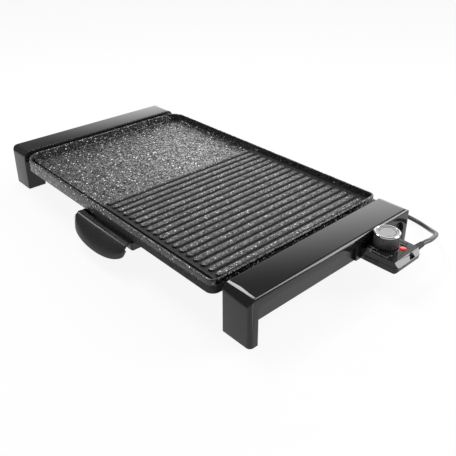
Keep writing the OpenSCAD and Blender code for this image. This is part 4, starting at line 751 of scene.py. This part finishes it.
bright = blend_colours(tree, large.outputs["Random"], grey(0.05), grey(1.0))
ground = blend_colours(tree, large.outputs["Mask"], ground, bright)

across, along, height = node(tree, "SeparateXYZ", Vector=place).outputs
# valley, wall and step mark the hollows whose colour is darkened as painted shade; valley also
# raises the roughness between the ribs.
valley = calc(tree, "MULTIPLY", remap(tree, height, (RIB_FOOT + 0.001, RIB_TOP), (0.95, 0.0)),
              calc(tree, "GREATER_THAN", across, RIBS_START))
off_middle = calc(tree, "ABSOLUTE", calc(tree, "SUBTRACT", along, PAN_MIDDLE))
walls = calc(tree, "MULTIPLY", calc(tree, "LESS_THAN", off_middle, PAN_HALF_DEPTH),
             calc(tree, "GREATER_THAN", across, SLOPE_END))
wall = calc(tree, "MULTIPLY", remap(tree, height, (WALL_FOOT, WALL_TOP), (0.0, 1.0)), walls)
off_step = calc(tree, "ABSOLUTE", calc(tree, "SUBTRACT", across, STEP_MIDDLE))
step = calc(tree, "LESS_THAN", off_step, STEP_HALF)
# Painted shade: the base colour goes near black in the rib valleys, on the inner walls and at
# the slope's foot.
painted_shade = calc(tree, "MAXIMUM", valley, calc(tree, "MULTIPLY", wall, 0.85))
painted_shade = calc(tree, "MAXIMUM", painted_shade, calc(tree, "MULTIPLY", step, 0.9))
plug_in(tree, shader.inputs["Base Color"], blend_colours(tree, painted_shade, ground, grey(0.002)))
rough = remap(tree, grainy.outputs["Random"], (0.0, 1.0), (0.10, 0.24))
plug_in(tree, shader.inputs["Roughness"],
        calc(tree, "ADD", rough, calc(tree, "MULTIPLY", valley, 0.6)))
raised = node(tree, "Bump", Height=large.outputs["Mask"], Distance=0.00003,
              Normal=grainy.outputs["Normal"])
plug_in(tree, shader.inputs["Normal"], raised.outputs[0])
finish["stone_coated_cast"] = made
print("the coating has", len(tree.nodes), "nodes")

# %% [markdown]
# The knob's disc is spun aluminium. Turning it under a fine tool leaves circles
# round its middle, so its pattern is a wave of the distance from the knob's axis,
# with some noise. A Mapping node puts that axis at the knob.

# %% The spun disc
made, tree, shader, place = start("satin_disc", Metallic=1.0)
centred = node(tree, "Mapping", Vector=place, Location=tuple(-at([*KNOB, 0])))
turned = node(tree, "TexWave", {"wave_type": "RINGS", "rings_direction": "Z"},
              Vector=centred.outputs[0], Scale=420.0, Distortion=1.5, Detail=2.0)
vary(tree, shader, turned.outputs["Fac"], grey(0.26), grey(0.40), 0.38, 0.52)
bump(tree, shader, turned.outputs["Fac"], 0.004)
finish["satin_disc"] = made
print("the disc is turned round", np.round(at([*KNOB, 0])[:2], 4))

# %% [markdown]
# The indicator is a red window over a small neon lamp, and it is on. The glow is
# strongest over the lamp and dies away towards the rim, so the light it sends out
# is a function of the distance from the window's middle.

# %% The lit window and its lamp
LAMP = (351.6, 84.3)
made, tree, shader, place = start("red_window", Roughness=0.12, Emission_Strength=1.0)
centred = node(tree, "Mapping", Vector=place, Location=tuple(-at([*LAMP, 0]) * [1, 1, 0]))
away = vector(tree, "LENGTH", vector(tree, "MULTIPLY", centred.outputs[0], (190.0, 190.0, 0.0)))
glow = colour_ramp(tree, away, ((0.0, (1.0, 0.16, 0.10, 1)), (0.35, (0.72, 0.03, 0.025, 1)),
                                (1.0, (0.16, 0.006, 0.006, 1))), "EASE")
plug_in(tree, shader.inputs["Emission Color"], glow)
skin = use_group(tree, moulded_skin, Place=place, Grain_per_metre=1200.0)
plug_in(tree, shader.inputs["Base Color"], blend_colours(
    tree, skin.outputs["Tone"], (0.25, 0.01, 0.01, 1), (0.4, 0.02, 0.02, 1)))
finish["red_window"] = made

made, tree, shader, place = start("lamp_glass", Roughness=0.05, Emission_Strength=3.0)
neon = node(tree, "TexNoise", Vector=place, Scale=400.0)
plug_in(tree, shader.inputs["Emission Color"], blend_colours(
    tree, neon.outputs[0], (1.0, 0.30, 0.08, 1), (1.0, 0.55, 0.25, 1)))
plug_in(tree, shader.inputs["Base Color"], blend_colours(
    tree, neon.outputs[0], (0.9, 0.4, 0.2, 1), (0.95, 0.6, 0.4, 1)))
finish["lamp_glass"] = made
print("the window glows round", np.round(at([*LAMP, 0])[:2], 4))

# %% [markdown]
# Each solid names its finish in the imported record, so dressing them is one loop.
# The new pieces get theirs one by one.

# %% Dress every piece
slots = {part["node"]: part["material_slot"] for part in frame["record"]["subparts"]}


def dress(made, material):
    """Replaces whatever the mesh came with by one finish."""
    made.data.materials.clear()
    made.data.materials.append(material)


for name, solid in nodes.items():
    dress(solid, finish[slots[name]])
for made, name in ((lead, "cord_black"), (plug, "cord_black"), (handle, "handle_black"),
                   (grip, "knob_black"), (marks, "scale_print")):
    dress(made, finish[name])
print(len(set(slots.values())), "finishes from the record are in use")

# %% [markdown]
# The photograph was taken on white paper under soft studio light. The floor is
# pale and, where the camera or a reflection sees it, it is nearly white, with the
# grill's own faint shadow.

# %% The floor
FLOOR = np.array([[[-5, -5, 0], [-5, 5, 0]], [[5, -5, 0], [5, 5, 0]]], float)
PAPER_GLOW = 0.9
floor = grid_object("floor", FLOOR, flip=True)
made = bpy.data.materials.new("paper")
made.use_nodes = True
tree = made.node_tree
tree.nodes.remove(tree.nodes["Principled BSDF"])
fibre = node(tree, "TexNoise", Vector=node(tree, "TexCoord").outputs["Object"], Scale=60.0)
matt = node(tree, "BsdfDiffuse",
            Color=blend_colours(tree, fibre.outputs[0], grey(0.84), grey(0.88)))
white = node(tree, "Emission", Color=grey(1.0), Strength=1.0)
ray = node(tree, "LightPath").outputs
seen = calc(tree, "MAXIMUM", ray["Is Camera Ray"],
            calc(tree, "MAXIMUM", ray["Is Glossy Ray"], ray["Is Transmission Ray"]))
paper = node(tree, "MixShader", Fac=calc(tree, "MULTIPLY", seen, PAPER_GLOW))
tree.links.new(matt.outputs[0], paper.inputs[1])
tree.links.new(white.outputs[0], paper.inputs[2])
tree.links.new(paper.outputs[0], tree.nodes["Material Output"].inputs["Surface"])
floor.data.materials.append(made)
print("the paper is", np.ptp(FLOOR[..., 0]), "m wide")

# %% [markdown]
# The world is white to the camera. To the grill it is a dim room with one broad glow
# behind and to the right, which draws the long gradient over the plate and the
# bridges' gloss tops. The glow is wider than it is high: a direction's height is
# stretched before it is compared with the glow's own direction.

# %% The room
FLATTEN = 1.5
GLOW_TURN, GLOW_HEIGHT = math.radians(116.5), 0.11
GLOW = np.array([math.cos(GLOW_TURN), math.sin(GLOW_TURN), GLOW_HEIGHT * FLATTEN])
room = bpy.data.worlds.new("studio")
bpy.context.scene.world = room
room.use_nodes = True
tree = room.node_tree
direction = vector(tree, "NORMALIZE", vector(
    tree, "MULTIPLY", node(tree, "TexCoord").outputs["Generated"], (1.0, 1.0, FLATTEN)))
towards = vector(tree, "DOT_PRODUCT", direction, tuple(GLOW / np.linalg.norm(GLOW)))
near = remap(tree, towards, (0.70, 0.95), (0.26, 2.9), interpolation_type="SMOOTHSTEP")
sky = node(tree, "Background", Strength=near, Color=grey(1.0))
backdrop = node(tree, "Background", Strength=1.0, Color=grey(1.0))
ray = node(tree, "LightPath").outputs
seen = calc(tree, "MAXIMUM", ray["Is Camera Ray"], ray["Is Transmission Ray"])
both = node(tree, "MixShader", Fac=seen)
tree.links.new(sky.outputs[0], both.inputs[1])
tree.links.new(backdrop.outputs[0], both.inputs[2])
tree.links.new(both.outputs[0], tree.nodes["World Output"].inputs["Surface"])
print("the room glows towards", np.round(GLOW, 2))

# %% [markdown]
# Three softboxes and a strip light make the hard, bright strips on the gloss edges.
# A polished fillet mirrors only a narrow part of the room, so a softbox of the right
# size in the right place shows as one clean line along it.

# %% The softboxes
def softbox(name, place, aim, width, height, brightness):
    """A rectangle that faces its aim. Its power is brightness * area * pi."""
    made = bpy.data.lights.new(name, "AREA")
    made.shape, made.size, made.size_y = "RECTANGLE", width, height
    made.energy = brightness * width * height * math.pi
    held = bpy.data.objects.new(name, made)
    bpy.context.scene.collection.objects.link(held)
    held.location = place
    out = held.location - type(held.location)(aim)
    held.rotation_euler = out.to_track_quat("Z", "Y").to_euler()
    held.visible_camera = False


softbox("softbox_back_right", (1.45, 1.52, 1.00), (0.3, 0.05, 0.07), 0.9, 1.7, 9.0)
softbox("softbox_over_left", (-0.85, 0.15, 1.60), (0.25, -0.15, 0.07), 0.95, 0.36, 14.0)
softbox("strip_over_middle", (-0.42, -0.05, 1.60), (0.33, 0.05, 0.07), 0.60, 0.20, 12.0)
softbox("softbox_left", (-1.56, -0.99, 1.00), (0.0, -0.2, 0.04), 0.5, 0.4, 7.0)
print("three softboxes and a strip light the grill")
